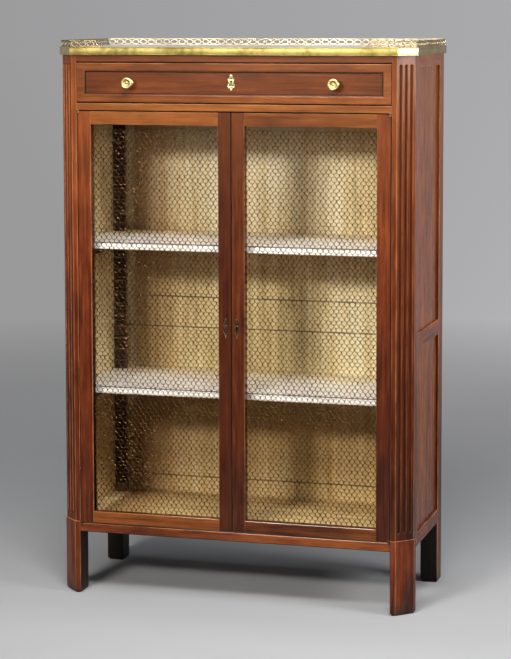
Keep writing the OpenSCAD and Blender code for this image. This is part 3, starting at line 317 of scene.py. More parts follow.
# %% [markdown]
# ## Mahogany
# The wood is old French-polished mahogany. Its grain is straight, with fine dark pores and a slow
# change of tone. Its edges are paler where the polish has worn through, and the pale colour is
# also a painted highlight along them. Painted light makes the wood more golden towards the top,
# and painted shade darkens it towards the floor. A picture of wood wrapped round each piece would
# need unwrapping. Real wood is a solid, so the pattern is made in space and stretched along the
# grain of each piece: upright in posts and stiles, level in rails. Faces along softened edges
# carry the attribute "wear".

# %% Mix the mahogany
def mahogany(name, grain, tone=1.0, start=(0.0, 0.0, 0.0), gold=0.0, dull=0.0, floor_shade_share=0.52,
             shine=0.10, film=0.16):
    """Polished mahogany whose grain runs along one axis. gold makes it yellower, dull blends in a
    painted grey haze of reflected light, and the floor share is how much tone a painted shade
    leaves near the floor; shine is its gloss coat and film its thin polish."""
    finish, tree, shader = recipe("mahogany_" + name)
    spot, _, _, z = place(tree)
    figure = noise(tree, spot, 9.0, 1.1, grain, start, 2.0)
    streaks = noise(tree, spot, 130.0, 5.0, grain, start, 4.0, 0.6)
    pores = noise(tree, spot, 620.0, 24.0, grain, start, 2.0)
    mottle = noise(tree, spot, 38.0, 12.0, grain, start, 3.0)
    mix = weighed(tree, (figure, 0.32), (streaks, 0.40), (mottle, 0.28))
    colour = ramp(tree, mix,
                  (0.415, rgb(0.150 * tone, 0.028 * tone, 0.008 * tone)),
                  (0.470, rgb(0.265 * tone, (0.048 + 0.022 * gold) * tone, 0.013 * tone)),
                  (0.525, rgb(0.345 * tone, (0.070 + 0.032 * gold) * tone, 0.019 * tone)),
                  (0.590, rgb(0.500 * tone, (0.112 + 0.045 * gold) * tone, 0.030 * tone)))
    # Painted light: the wood turns more golden towards the top, where the lamps fall stronger.
    painted_top_light = scale_value(tree, z, 0.85, 1.35, 0.0, 0.4)
    colour = blend(tree, painted_top_light, colour, rgb(0.38 * tone, 0.135 * tone, 0.036 * tone))
    open_pores = scale_value(tree, pores, 0.60, 0.72)
    colour = blend(tree, sums(tree, "MULTIPLY", open_pores, 0.6), colour,
                   rgb(0.06 * tone, 0.014 * tone, 0.008 * tone))
    # Painted shade: the wood darkens towards the floor, down to its floor share of tone.
    low = scale_value(tree, z, 0.25, 1.25, floor_shade_share, 1.0)
    shade = add(tree, "ShaderNodeCombineColor", {0: low, 1: low, 2: low}).outputs[0]
    colour = blend(tree, 1.0, colour, shade, "MULTIPLY")
    worn = add(tree, "ShaderNodeAttribute", attribute_name="wear").outputs["Fac"]
    # Worn edges turn paler and a little glossier; the pale colour is also a painted highlight
    # along the rounds.
    rubbed = sums(tree, "MULTIPLY", worn, scale_value(tree, mottle, 0.35, 0.62, 0.25, 0.85))
    colour = blend(tree, rubbed, colour,
                   rgb(0.64 * tone + 0.07, 0.25 * tone + 0.035, 0.09 * tone + 0.02))
    scuffed = sums(tree, "MULTIPLY", scale_value(tree, z, 0.040, 0.002),
                   scale_value(tree, mottle, 0.40, 0.56))
    colour = blend(tree, scuffed, colour, rgb(0.030, 0.018, 0.012))
    # dull blends in a painted grey haze, as of reflected light.
    if dull:
        colour = blend(tree, dull, colour, rgb(0.22, 0.15, 0.12))
    tree.links.new(colour, shader.inputs["Base Color"])
    gloss = scale_value(tree, sums(tree, "ADD", streaks, open_pores), 0.3, 1.4, 0.21, 0.28)
    polished = sums(tree, "MULTIPLY", gloss, scale_value(tree, worn, 0.0, 1.0, 1.0, 0.8))
    tree.links.new(polished, shader.inputs["Roughness"])
    shader.inputs["Specular IOR Level"].default_value = film
    shader.inputs["Coat Weight"].default_value = shine
    shader.inputs["Coat Roughness"].default_value = 0.14
    relief(tree, shader, figure, 0.0004, 0.3)
    return finish


print("mahogany recipe ready")

# %% [markdown]
# Old furniture is never one tone. Light has bleached some boards and hands have darkened
# others, so each kind of piece gets its own tone, and its own start in the pattern so that no
# two look sawn from one plank.

# %% Choose the mahogany tones
upright = mahogany("upright", "Z", 0.56)
upright_right = mahogany("upright_right", "Z", 0.355, (7.2, 3.8, 4.1), floor_shade_share=0.55)
upright_dark = mahogany("upright_dark", "Z", 0.205, (3.1, 1.7, 0.4), floor_shade_share=0.75)
upright_mid = mahogany("upright_mid", "Z", 0.33, (5.3, 2.9, 1.1), gold=0.3)
post_left = mahogany("post_left", "Z", 0.54, (1.9, 4.3, 2.2), floor_shade_share=0.42, film=0.08)
# The left leg is the left post's wood with another painted shade towards the floor.
leg_left = mahogany("leg_left", "Z", 0.54, (1.9, 4.3, 2.2), floor_shade_share=0.57, film=0.08)
post_right = mahogany("post_right", "Z", 0.365, (2.7, 8.3, 1.2), floor_shade_share=0.42, film=0.12)
leg_right = mahogany("leg_right", "Z", 0.41, (2.7, 8.3, 1.2), floor_shade_share=0.88)
# The flutes are very dark: partly dirt in the grooves, partly painted shade.
flute = mahogany("flute", "Z", 0.14, (1.7, 2.3, 6.2))
level_top = mahogany("level_top", "X", 0.305, (0.7, 2.1, 5.0))
level_gold = mahogany("level_gold", "X", 0.53, (4.4, 0.3, 1.6), gold=1.1)
level_low = mahogany("level_low", "X", 0.49, (9.4, 2.3, 3.1), gold=0.4, floor_shade_share=0.80)
level_left = mahogany("level_left", "X", 0.48, (5.4, 1.3, 2.1), gold=0.8, floor_shade_share=0.85)
level_right = mahogany("level_right", "X", 0.37, (6.1, 7.3, 0.4), gold=0.8, floor_shade_share=0.75)
level_border = mahogany("border", "X", 0.455, (2.4, 6.3, 3.6), gold=0.6)
level_field = mahogany("field", "X", 0.305, (6.6, 3.3, 0.6))
moulding_wood = mahogany("moulding", "X", 0.36, (3.6, 1.3, 9.6), shine=0.6)
unpolished = {"shine": 0.0, "film": 0.05}
deep = mahogany("deep", "Y", 0.62, (1.4, 1.2, 7.0), gold=0.3, floor_shade_share=0.7, **unpolished)
# The side panel gets a little painted grey haze of reflected light.
side_panel = mahogany("side", "Z", 0.66, (8.1, 5.5, 2.6), gold=0.6, dull=0.04, floor_shade_share=0.8,
                      **unpolished)
post_side = mahogany("post_side", "Z", 0.60, (4.1, 1.5, 8.6), gold=0.2, floor_shade_share=0.6, **unpolished)
print("mahogany finishes made")

# %% [markdown]
# ## Painted boards, paper, plain woods
# Inside, the boards are painted a warm cream that has yellowed and been brushed up and down.
# Painted shade darkens it under the shelves, through the lowest compartment, at the top and beside
# the left corner; ramps over the height and the width do that. The shelves are covered with paler
# paper. The back, the racks and the cleats are old dark wood where no paint covers them, and the
# drawer is plain oak.

# %% Mix the paint
under_low, under_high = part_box("shelf_lower")[0].z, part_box("shelf_upper")[0].z
print("undersides of the shelves", round(under_low, 3), round(under_high, 3))


def painted(name, grain="Z", bare=None, cracks=()):
    """Yellowed cream paint; bare is (axis, limit, sign) past which old dark wood shows, and
    cracks are the heights of joints that have opened."""
    finish, tree, shader = recipe(name)
    spot, x, y, z = place(tree)
    along = dict(zip("XYZ", (x, y, z)))
    brushed = noise(tree, spot, 75.0, 2.5, grain, detail=4.0, rough=0.6)
    clouds = noise(tree, spot, 4.0, 2.0, grain, (2.0, 1.0, 4.0), 4.0)
    stains = noise(tree, spot, 22.0, 9.0, grain, (5.0, 3.0, 1.0), 5.0, 0.65)
    mix = weighed(tree, (brushed, 0.5), (clouds, 0.5))
    colour = ramp(tree, mix, (0.37, rgb(0.60, 0.46, 0.23)), (0.50, rgb(0.82, 0.68, 0.40)),
                  (0.61, rgb(0.95, 0.86, 0.62)))
    colour = blend(tree, scale_value(tree, stains, 0.58, 0.74, 0.0, 0.4), colour,
                   rgb(0.36, 0.22, 0.09))
    # Painted shade by height: darker through the lowest compartment and under each shelf, lighter
    # above the shelves.
    painted_height_shade = ramp(tree, z, (0.19, rgb(1.0, 0.90, 0.72)), (0.30, rgb(0.60, 0.49, 0.35)),
                  (under_low - 0.09, rgb(0.56, 0.44, 0.30)), (under_low, rgb(0.46, 0.29, 0.19)),
                  (under_low + 0.02, rgb(1.0, 1.0, 0.94)),
                  (under_high - 0.10, rgb(1.0, 0.98, 0.90)),
                  (under_high, rgb(0.55, 0.36, 0.24)), (under_high + 0.02, rgb(1.0, 1.0, 1.0)))
    colour = blend(tree, 1.0, colour, painted_height_shade, "MULTIPLY")
    # Painted shadow of the top rail: darker at the top of the upper compartment.
    colour = blend(tree, scale_value(tree, z, 1.13, 1.23), colour,
                   blend(tree, 1.0, colour, rgb(0.23, 0.100, 0.042), "MULTIPLY"))
    # Painted shade across the width: darkest just right of the left corner, where the left stile
    # casts its shadow, lighter towards the right.
    painted_width_shade = ramp(tree, scale_value(tree, x, -0.5, 0.5), (0.108, rgb(1.0, 1.0, 1.0)),
                (0.125, rgb(0.55, 0.42, 0.34)), (0.20, rgb(0.66, 0.55, 0.46)),
                (0.27, rgb(0.88, 0.86, 0.82)), (0.42, rgb(0.88, 0.86, 0.82)),
                (0.70, rgb(1.0, 1.0, 1.0)))
    colour = blend(tree, 1.0, colour, painted_width_shade, "MULTIPLY")
    for height in cracks:
        gap = scale_value(tree, distance(tree, z, height), 0.0022, 0.0012)
        broken = scale_value(tree, stains, 0.36, 0.50, 0.35, 0.9)
        colour = blend(tree, sums(tree, "MULTIPLY", gap, broken), colour,
                       rgb(0.055, 0.028, 0.012))
    if bare:
        axis, limit, sign = bare
        behind = scale_value(tree, along[axis], limit, limit + 0.0004 * sign)
        wood = ramp(tree, brushed, (0.35, rgb(0.085, 0.050, 0.031)),
                    (0.65, rgb(0.26, 0.165, 0.105)))
        colour = blend(tree, behind, colour, wood)
    tree.links.new(colour, shader.inputs["Base Color"])
    shader.inputs["Roughness"].default_value = 0.7
    shader.inputs["Specular IOR Level"].default_value = 0.25
    relief(tree, shader, brushed, 0.0003, 0.4)
    return finish


BACK_FACE, BOTTOM_FACE = 0.1835, 0.1935
back_joints = (0.727, 0.645, 0.239)
paint_upright = painted("paint_upright")
paint_back = painted("paint_back", bare=("Y", BACK_FACE, 1), cracks=back_joints)
paint_bottom = painted("paint_bottom", "X", bare=("Z", BOTTOM_FACE, -1))
print("paint stops at", BACK_FACE, "of the back and", BOTTOM_FACE, "of the bottom")


# %% Mix the paper
def papered(name):
    """Pale pinkish paper, a little creased and marked with soil, and a painted yellow towards the
    back.
    """
    finish, tree, shader = recipe(name)
    spot, _, y, _ = place(tree)
    creases = noise(tree, spot, 34.0, detail=6.0, rough=0.62)
    soil = noise(tree, spot, 9.0, start=(3.0, 2.0, 1.0), detail=4.0)
    colour = ramp(tree, soil, (0.36, rgb(0.92, 0.86, 0.77)), (0.52, rgb(0.98, 0.95, 0.90)))
    # Painted reflection and shade: the paper turns yellower towards the back, as if lit by the
    # cream walls.
    colour = blend(tree, scale_value(tree, y, 0.02, 0.16), colour, rgb(0.86, 0.74, 0.50))
    colour = blend(tree, scale_value(tree, creases, 0.60, 0.72, 0.0, 0.5), colour,
                   rgb(0.50, 0.36, 0.26))
    tree.links.new(colour, shader.inputs["Base Color"])
    shader.inputs["Roughness"].default_value = 0.36
    shader.inputs["Specular IOR Level"].default_value = 0.8
    relief(tree, shader, creases, 0.0012, 0.6)
    return finish


paper = papered("shelf_paper")
print(paper.name, "made")


# %% Mix the plain woods
def plain_wood(name, grain, dark, light, start=(0, 0, 0), rough=0.55):
    """Unpolished wood between two tones."""
    finish, tree, shader = recipe(name)
    spot = place(tree)[0]
    figure = noise(tree, spot, 12.0, 1.4, grain, start, 3.0)
    streaks = noise(tree, spot, 150.0, 5.0, grain, start, 4.0, 0.6)
    pores = scale_value(tree, noise(tree, spot, 540.0, 20.0, grain, start, 2.0), 0.58, 0.70)
    mix = weighed(tree, (figure, 0.5), (streaks, 0.5))
    colour = ramp(tree, mix, (0.36, rgb(*dark)), (0.64, rgb(*light)))
    colour = blend(tree, sums(tree, "MULTIPLY", pores, 0.5), colour,
                   rgb(*(c * 0.4 for c in dark)))
    tree.links.new(colour, shader.inputs["Base Color"])
    shader.inputs["Roughness"].default_value = rough
    shader.inputs["Specular IOR Level"].default_value = 0.15
    relief(tree, shader, sums(tree, "SUBTRACT", streaks, pores), 0.0003, 0.6)
    return finish


shelf_wood = plain_wood("shelf_wood", "X", (0.20, 0.125, 0.06), (0.42, 0.30, 0.17))
rack_wood = plain_wood("rack_wood", "Z", (0.125, 0.062, 0.040), (0.32, 0.18, 0.11))
cleat_wood = plain_wood("cleat_wood", "Y", (0.018, 0.009, 0.006), (0.075, 0.038, 0.024))
OAK = (0.26, 0.15, 0.07), (0.50, 0.34, 0.18)
oak_level = plain_wood("oak_level", "X", *OAK)
oak_deep = plain_wood("oak_deep", "Y", *OAK, (4, 2, 1))
edge_line_dark = plain_wood("edge_line_dark", "X", (0.03, 0.016, 0.010), (0.07, 0.04, 0.025))
# Near-black wood for painted shade in gaps and on faces turned away from the light.
painted_shade = plain_wood("painted_shade_wood", "Z", (0.008, 0.004, 0.003), (0.030, 0.013, 0.008), (1, 5, 3))
# Near-black painted shade for the rear legs under the cabinet.
painted_leg_shade = plain_wood("painted_leg_shade_wood", "Z", (0.003, 0.002, 0.0015), (0.010, 0.006, 0.004),
                     (2, 4, 6), rough=0.35)
print("plain woods made")

# %% [markdown]
# ## Brass, iron and marble
# The brass is old and rubbed: bright on the high parts, browner in between. One recipe with two
# tones and a patchy mix of them serves all metals: bright brass, the netting that has gone
# nearly black, and the iron of locks and bolts. The marble is white with faint grey veins, made
# from the middle values of a noise, and a dull polish.

# %% Mix the metals
def metal(name, bright, dull, rough=(0.22, 0.40), spots=70.0, tarnish=(0.45, 0.66),
          slow_share=0.5):
    """Metal that changes between a rubbed and a tarnished tone; slow_share is the share of
    the large patches among the small spots."""
    finish, tree, shader = recipe(name)
    spot = place(tree)[0]
    clouds = noise(tree, spot, spots, detail=5.0, rough=0.6)
    slow = noise(tree, spot, 11.0, start=(4.0, 2.0, 6.0), detail=3.0)
    both = weighed(tree, (clouds, 1 - slow_share), (slow, slow_share))
    dim = scale_value(tree, both, *tarnish)
    tree.links.new(blend(tree, dim, rgb(*bright), rgb(*dull)), shader.inputs["Base Color"])
    tree.links.new(scale_value(tree, both, 0.35, 0.65, *rough), shader.inputs["Roughness"])
    shader.inputs["Metallic"].default_value = 1.0
    relief(tree, shader, clouds, 0.0002, 0.5)
    return finish


brass = metal("brass_rubbed", (0.29, 0.23, 0.078), (0.15, 0.118, 0.030), (0.46, 0.58), 55.0,
              (0.46, 0.60))
# Copies of the brass for the band and gallery: a painted highlight on the cants, painted shade on
# the sides and painted light on the back of the gallery.
brass_cant_highlight = metal("brass_cant_highlight", (0.60, 0.52, 0.31), (0.46, 0.38, 0.21), (0.45, 0.55))
brass_back_light = metal("brass_gallery", (0.66, 0.58, 0.41), (0.32, 0.25, 0.15), (0.45, 0.56), 240.0)
brass_side_shade = metal("brass_side_shade", (0.40, 0.31, 0.17), (0.12, 0.085, 0.045), (0.42, 0.54), 260.0)
brass_knob = metal("brass_knob", (0.80, 0.68, 0.34), (0.52, 0.38, 0.13), (0.30, 0.42), 150.0)
brass_dish = metal("brass_dish", (0.42, 0.31, 0.11), (0.24, 0.16, 0.05), (0.30, 0.42), 150.0)
brass_dark = metal("brass_dark", (0.22, 0.14, 0.07), (0.035, 0.019, 0.010), (0.25, 0.40), 260.0)
brass_black = metal("brass_black", (0.045, 0.025, 0.014), (0.020, 0.011, 0.007), (0.5, 0.6), 160.0)
wire_metal = metal("wire_dark", (0.21, 0.12, 0.055), (0.014, 0.007, 0.003), (0.46, 0.60), 210.0,
                   (0.40, 0.50), slow_share=0.1)
iron = metal("iron", (0.34, 0.32, 0.30), (0.13, 0.085, 0.06), (0.38, 0.6), 120.0)
print("metals made")


# %% Mix the marble
def marble():
    """White marble with soft grey veins."""
    finish, tree, shader = recipe("marble_white")
    spot = place(tree)[0]
    drift = add(tree, "ShaderNodeTexNoise", {"Vector": spot, "Scale": 3.0, "Detail": 5.0})
    bent = add(tree, "ShaderNodeVectorMath", {0: spot, 1: drift.outputs["Color"]},
               operation="ADD")
    veins = add(tree, "ShaderNodeTexNoise", {"Vector": bent.outputs[0], "Scale": 6.0,
                "Detail": 8.0, "Roughness": 0.62}).outputs["Fac"]
    line = scale_value(tree, distance(tree, veins, 0.5), 0.0, 0.045, 1.0, 0.0)
    clouds = noise(tree, spot, 8.0, detail=6.0)
    colour = ramp(tree, clouds, (0.35, rgb(0.33, 0.305, 0.27)), (0.62, rgb(0.47, 0.435, 0.39)))
    colour = blend(tree, sums(tree, "MULTIPLY", line, 0.55), colour, rgb(0.36, 0.36, 0.38))
    tree.links.new(colour, shader.inputs["Base Color"])
    shader.inputs["Roughness"].default_value = 0.24
    shader.inputs["Specular IOR Level"].default_value = 0.15
    return finish


white_marble = marble()
print(white_marble.name, "made")

# %% [markdown]
# ## Softened edges
# No old cabinet has knife edges. The polish rounds them, and the round catches the light as
# thin bright lines. A bevel modifier would round every edge, also where two pieces meet. So a
# copy of the CAD piece is merged and cleaned, only the long outer edges along its grain are
# bevelled, and the copy stands for the CAD piece. Ends stay sharp, so joints stay closed.

# %% Turn a bmesh into a piece
def finished(bm, name, finishes, body, slot, *nodes, smooth=24):
    """Piece from a bmesh, with its materials and body; it replaces the named nodes. slot is not
    used.
    """
    mesh = bpy.data.meshes.new(name)
    bm.to_mesh(mesh)
    bm.free()
    for finish in finishes:
        mesh.materials.append(finish)
    mesh.polygons.foreach_set("use_smooth", [True] * len(mesh.polygons))
    mesh.set_sharp_from_angle(angle=math.radians(smooth))
    piece = bpy.data.objects.new(name, mesh)
    scene.collection.objects.link(piece)
    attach(piece, body)
    if nodes:
        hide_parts(*nodes)
    return piece


SAME_SPOT = 1e-6


def unique(items):
    """The items without repeats, in their order, which a set would change from run to run."""
    return list(dict.fromkeys(items))


def copy_of(node):
    """Merged copy of a CAD node with its flat faces joined up."""
    bm = bmesh.new()
    bm.from_mesh(frame["nodes"][node].data)
    bmesh.ops.remove_doubles(bm, verts=bm.verts, dist=SAME_SPOT)
    bmesh.ops.dissolve_limit(bm, angle_limit=math.radians(0.3), verts=bm.verts, edges=bm.edges)
    return bm


print("bmesh helpers ready")


# %% Make the edge softener
def outer_edges(bm, axis, longer):
    """Convex edges that run along an axis and are longer than a limit."""
    along = Vector([c == axis for c in "XYZ"])
    found = []
    for edge in bm.edges:
        if len(edge.link_faces) != 2:
            continue
        line = edge.verts[1].co - edge.verts[0].co
        if line.length < longer or abs(line.normalized().dot(along)) < 0.999:
            continue
        if edge.calc_face_angle_signed() > math.radians(20):
            found.append(edge)
    return found


def round_off(bm, edges, radius, segments=2):
    """Bevels edges and marks the new faces as worn."""
    wear = bm.faces.layers.float["wear"]
    made = bmesh.ops.bevel(bm, geom=edges, offset=radius, offset_type="OFFSET",
                           segments=segments, profile=0.5, affect="EDGES",
                           clamp_overlap=False, material=-1)
    for face in made["faces"]:
        face[wear] = 1.0


EDGE = 0.0011


def soften(node, axis, finishes, radius=EDGE, choose=None, extra=None, slot="mahogany",
           longer=0.02):
    """Copy of a node with its edges along one axis rounded. extra does more work on it, and
    choose picks a finish by face."""
    bm = copy_of(node)
    bm.faces.layers.float.new("wear")
    edges = outer_edges(bm, axis, longer)
    round_off(bm, edges, radius)
    if extra:
        extra(bm)
    if choose:
        for face in bm.faces:
            face.material_index = choose(face)
    body = frame["nodes"][node]["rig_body"]
    piece = finished(bm, node + "_worked", finishes, body, slot, node)
    print(node, "edges", len(edges), "faces", len(piece.data.polygons))


# %% [markdown]
# ## Posts
# The front posts are canted, and the legs under them stand slightly proud with a small rounded
# shoulder. The edges along the post are rounded first, then the shoulder. The CAD model has the
# flutes already, so they only get a darker finish, chosen by how deep a face lies under the cant;
# the dark is partly dirt in the grooves and partly painted shade. The inner sides and the backs of
# the front posts get a near-black painted shade. On the rear legs, all but their outer sides, the
# shade under the cabinet is painted nearly black, with a clean line at the top of the leg, so the
# post is cut there before its faces get their finishes.

# %% Work the posts
LEG_SHOULDER, LEG_TOP = 0.188, 0.160
SHOULDER_ROUND, POST_ROUND, SIDE_ROUND = 0.0018, 0.0010, 0.0012
CANT_PLANE = 0.602
FLUTE_DEEP, FLUTE_LIP = -0.0045, -0.0024
FLUTE_FOOT, FLUTE_TOP = 0.2, 1.365


def shoulder(bm):
    """Rounds the small step at the top of the leg."""
    edges = [e for e in bm.edges if len(e.link_faces) == 2
             and all(abs(v.co.z - LEG_SHOULDER) < 1e-5 for v in e.verts)
             and e.calc_face_angle_signed() > math.radians(30)]
    round_off(bm, edges, SHOULDER_ROUND, 3)


def cut_leg_top(bm):
    """Cuts the faces of a rear post at the top of its leg, for the edge of the painted shade."""
    bmesh.ops.bisect_plane(bm, geom=[*bm.verts, *bm.edges, *bm.faces],
                           plane_co=(0, 0, LEG_TOP), plane_no=(0, 0, 1))


def post_face(face):
    """0 post, 1 the inner side and the back, in painted shade, 2 flutes, 3 leg, 4 outer side."""
    middle, normal = face.calc_center_median(), face.normal
    inward = -1.0 if middle.x > 0 else 1.0
    if normal.x * inward > 0.9 or normal.y > 0.9:
        return 1
    if normal.x * inward < -0.9:
        return 4
    sunk = (abs(middle.x) - middle.y - CANT_PLANE) / math.sqrt(2)
    on_flutes = abs(normal.z) < 0.9 and FLUTE_FOOT < middle.z < FLUTE_TOP
    # Faces in the flutes take the dark flute wood: dirt and painted shade.
    if on_flutes and FLUTE_DEEP < sunk < FLUTE_LIP:
        return 2
    return 3 if middle.z < LEG_SHOULDER - 0.003 else 0


def rear_face(face):
    """0 the inner sides of the post, 1 the leg in near-black painted shade, 2 the outer side and
    the back.
    """
    middle, normal = face.calc_center_median(), face.normal
    outside = normal.x * middle.x > 0.1
    if middle.z < LEG_TOP:
        return 2 if outside else 1
    return 2 if outside or normal.y > 0.3 else 0


for side, wood, leg in (("left", post_left, leg_left), ("right", post_right, leg_right)):
    soften("post_front_" + side, "Z", [wood, painted_shade, flute, leg, post_side], POST_ROUND,
           choose=post_face, extra=shoulder)
    soften("post_rear_" + side, "Z", [wood, painted_leg_shade, post_side], SIDE_ROUND,
           choose=rear_face, extra=cut_leg_top)

# %% [markdown]
# ## Rails and doors
# Level pieces are rounded along X, the stiles along Z. In each door the meeting stile is from a
# darker plank than the hinge stile. Both stiles are one CAD piece, so the finish is chosen face by
# face. Faces in the gaps round drawer and doors, and the lower rounds of the rails, get a
# near-black painted shade.

# %% Work the rails and the doors
RAIL_ROUND, LONG_EDGE = 0.0020, 0.1


def rail_face(face):
    """1 for the level faces and the lower rounds, which face a gap and get painted shade."""
    return int(face.normal.z > 0.9 or face.normal.z < -0.2)


for node, finish in (("rail_front_top", level_top), ("rail_drawer", level_gold),
                     ("rail_front_bottom", level_low)):
    soften(node, "X", [finish, painted_shade], RAIL_ROUND, choose=rail_face, longer=LONG_EDGE)


def stile_face(face):
    """0 hinge stile, 1 meeting stile, 2 the edges that face a gap, in painted shade."""
    middle = face.calc_center_median()
    if abs(face.normal.x) > 0.2 and not 0.01 < abs(middle.x) < 0.39:
        return 2
    return int(abs(middle.x) < 0.1)


def door_rail_face(face):
    """1 for the upper and lower edge of the door, in painted shade."""
    height, up = face.calc_center_median().z, face.normal.z
    return int((up > 0.9 and height > 1.2) or (up < -0.2 and height < 0.25))


for side, hinge, meeting, rails in (("left", upright, upright_dark, level_left),
                                    ("right", upright_right, upright_mid, level_right)):
    soften(f"door_{side}_stiles", "Z", [hinge, meeting, painted_shade], choose=stile_face)
    soften(f"door_{side}_rails", "X", [rails, painted_shade], choose=door_rail_face)
    soften("rails_" + side, "Y", [deep], SIDE_ROUND)

# %% [markdown]
# ## The drawer front
# The sunk field of the drawer is darker than its border, and a fine line of painted shade runs
# round it beside the moulding. A drawn line would need an image, so the field is cut along the
# line instead, and the narrow strip outside the cuts gets the near-black painted shade.

# %% Work the drawer front
FIELD_Y, ON_FIELD = -0.179, 0.0006
SHADE_STRIP = 0.0052
field_low, field_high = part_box("drawer_moulding")


def drawer_face(face):
    """0 border, 1 field, 2 the outer edges that face a gap and the strip round the field, in
    painted shade.
    """
    middle, normal = face.calc_center_median(), face.normal
    at_end = abs(normal.x) > 0.2 and abs(middle.x) > 0.4
    at_top = normal.z > 0.9 and middle.z > 1.35
    if at_end or at_top or (normal.z < -0.2 and middle.z < 1.28):
        return 2
    if abs(middle.y - FIELD_Y) > ON_FIELD:
        return 0
    in_height = field_low.z + SHADE_STRIP < middle.z < field_high.z - SHADE_STRIP
    return 1 if in_height and abs(middle.x) < field_high.x - SHADE_STRIP else 2


def cut_field(bm):
    """Cuts the field a little inside its moulding, for the line of painted shade."""
    for spot, way in (((-field_high.x + SHADE_STRIP, 0, 0), (1, 0, 0)),
                      ((field_high.x - SHADE_STRIP, 0, 0), (1, 0, 0)),
                      ((0, 0, field_low.z + SHADE_STRIP), (0, 0, 1)),
                      ((0, 0, field_high.z - SHADE_STRIP), (0, 0, 1))):
        faces = [f for f in bm.faces if abs(f.calc_center_median().y - FIELD_Y) < ON_FIELD]
        around = unique(g for f in faces for g in (*f.verts, *f.edges))
        bmesh.ops.bisect_plane(bm, geom=[*around, *faces], plane_co=spot, plane_no=way)


def moulding_face(face):
    """1 for the steep faces that fall to the field at the top and at both ends, in painted shade.
    """
    inward = face.normal.x * (1 if face.calc_center_median().x < 0 else -1)
    return int(face.normal.z < -0.5 or inward > 0.5)


soften("drawer_front", "X", [level_border, level_field, painted_shade], RAIL_ROUND,
       choose=drawer_face, extra=cut_field, longer=LONG_EDGE)
soften("drawer_moulding", "Y", [moulding_wood, painted_shade], choose=moulding_face)

# %% [markdown]
# ## Shelves
# The paper wraps the top and the front edge of each shelf. Between the two runs a dark line. Loose
# sheets of paper could be modelled over the boards, but they lie flat, so the board's own faces
# get the paper and the bevel of its front edge is the dark line.

# %% Work the shelves
SHELF_ROUND = 0.0022


def shelf_face(face):
    """0 paper, 1 bare wood, 2 the dark line along the front edge."""
    normal = face.normal
    if normal.z > 0.95 or normal.y < -0.95:
        return 0
    return 2 if normal.y < -0.1 and normal.z > 0.1 else 1


for node in ("shelf_upper", "shelf_lower"):
    soften(node, "X", [paper, shelf_wood, edge_line_dark], SHELF_ROUND, choose=shelf_face,
           slot="lined")

# %% [markdown]
# ## Racks
# Toothed laths stand in the corners, and cleats hang in their teeth to carry the shelves. The
# slopes under the teeth are dark as painted shade. The teeth are CAD work already: only the
# upright edges are eased and the slopes get the dark wood.

# %% Work the racks
RACK_ROUND = 0.0006


def rack_face(face):
    """1 for the slopes of the notches, which face down and get painted shade."""
    return int(-0.5 < face.normal.z < -0.2)


for side in ("left", "right"):
    soften("racks_" + side, "Z", [rack_wood, cleat_wood], RACK_ROUND, choose=rack_face,
           slot="old_wood")

# %% [markdown]
# ## Wire netting
# The netting is woven from thin brass wire. Neighbouring wires are twisted together for a
# moment, part, and meet the next neighbour half a mesh further on. A see-through pattern on a
# sheet would look flat from the side, so the wires are real. One mesh is modelled: an upright
# twist and two bent arms. Two array modifiers repeat it over the door, as a loom would, and a
# slow drift then bends the rows, because no two loops of hand-made netting are quite alike. The
# drift is a noise that would start anew each time, so it gets a fixed seed.

# %% Set out the netting
mesh_wide, row_high = 0.01348, 0.00932
wire, twist_up = 0.00078, 0.0026
twist_wire = wire * 1.4
net_low, net_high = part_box("door_left_net")
columns = round((net_high.x - net_low.x) / mesh_wide)
pair_rows = math.floor((net_high.z - net_low.z) / (2 * row_high))
print("netting", columns, "columns,", 2 * pair_rows, "rows")


def tube(bm, points, radius, sides=3):
    """A wire along a few points: a ring is extruded from point to point."""
    ring = bmesh.ops.create_circle(bm, segments=sides, radius=radius, cap_ends=False)["verts"]
    ahead = (points[1] - points[0]).normalized()
    bmesh.ops.transform(bm, verts=ring, matrix=Matrix.Translation(points[0])
                        @ ahead.to_track_quat("Z", "Y").to_matrix().to_4x4())
    edges = unique(e for v in ring for e in v.link_edges)
    for before, here in zip(points, points[1:]):
        new = bmesh.ops.extrude_edge_only(bm, edges=edges)["geom"]
        ring = [g for g in new if isinstance(g, bmesh.types.BMVert)]
        edges = [g for g in new if isinstance(g, bmesh.types.BMEdge)]
        bmesh.ops.translate(bm, verts=ring, vec=here - before)


def woven_mesh(bm, x, z):
    """One knot at x, z: the two twisted wires and the two arms that rise from them."""
    for s in (-1, 1):
        tube(bm, [Vector((x + s * wire * 0.9, 0, z - twist_up)), Vector((x, s * wire, z)),
                  Vector((x - s * wire * 0.9, 0, z + twist_up))], twist_wire)
    for s in (-1, 1):
        start = Vector((x + s * wire * 0.6, 0, z + twist_up * 0.9))
        end = Vector((x + s * (mesh_wide / 2 - wire * 0.6), 0, z + row_high - twist_up * 0.9))
        sag = Vector((s * 0.0007, 0, -0.0007))
        tube(bm, [start, (start + end) / 2 + sag, end], wire)


print("one mesh is", mesh_wide, "wide and", 2 * row_high, "high")

# %% Weave the netting
DRIFT, DRIFT_WAVES, DRIFT_SEED = 0.0027, 110.0, 4


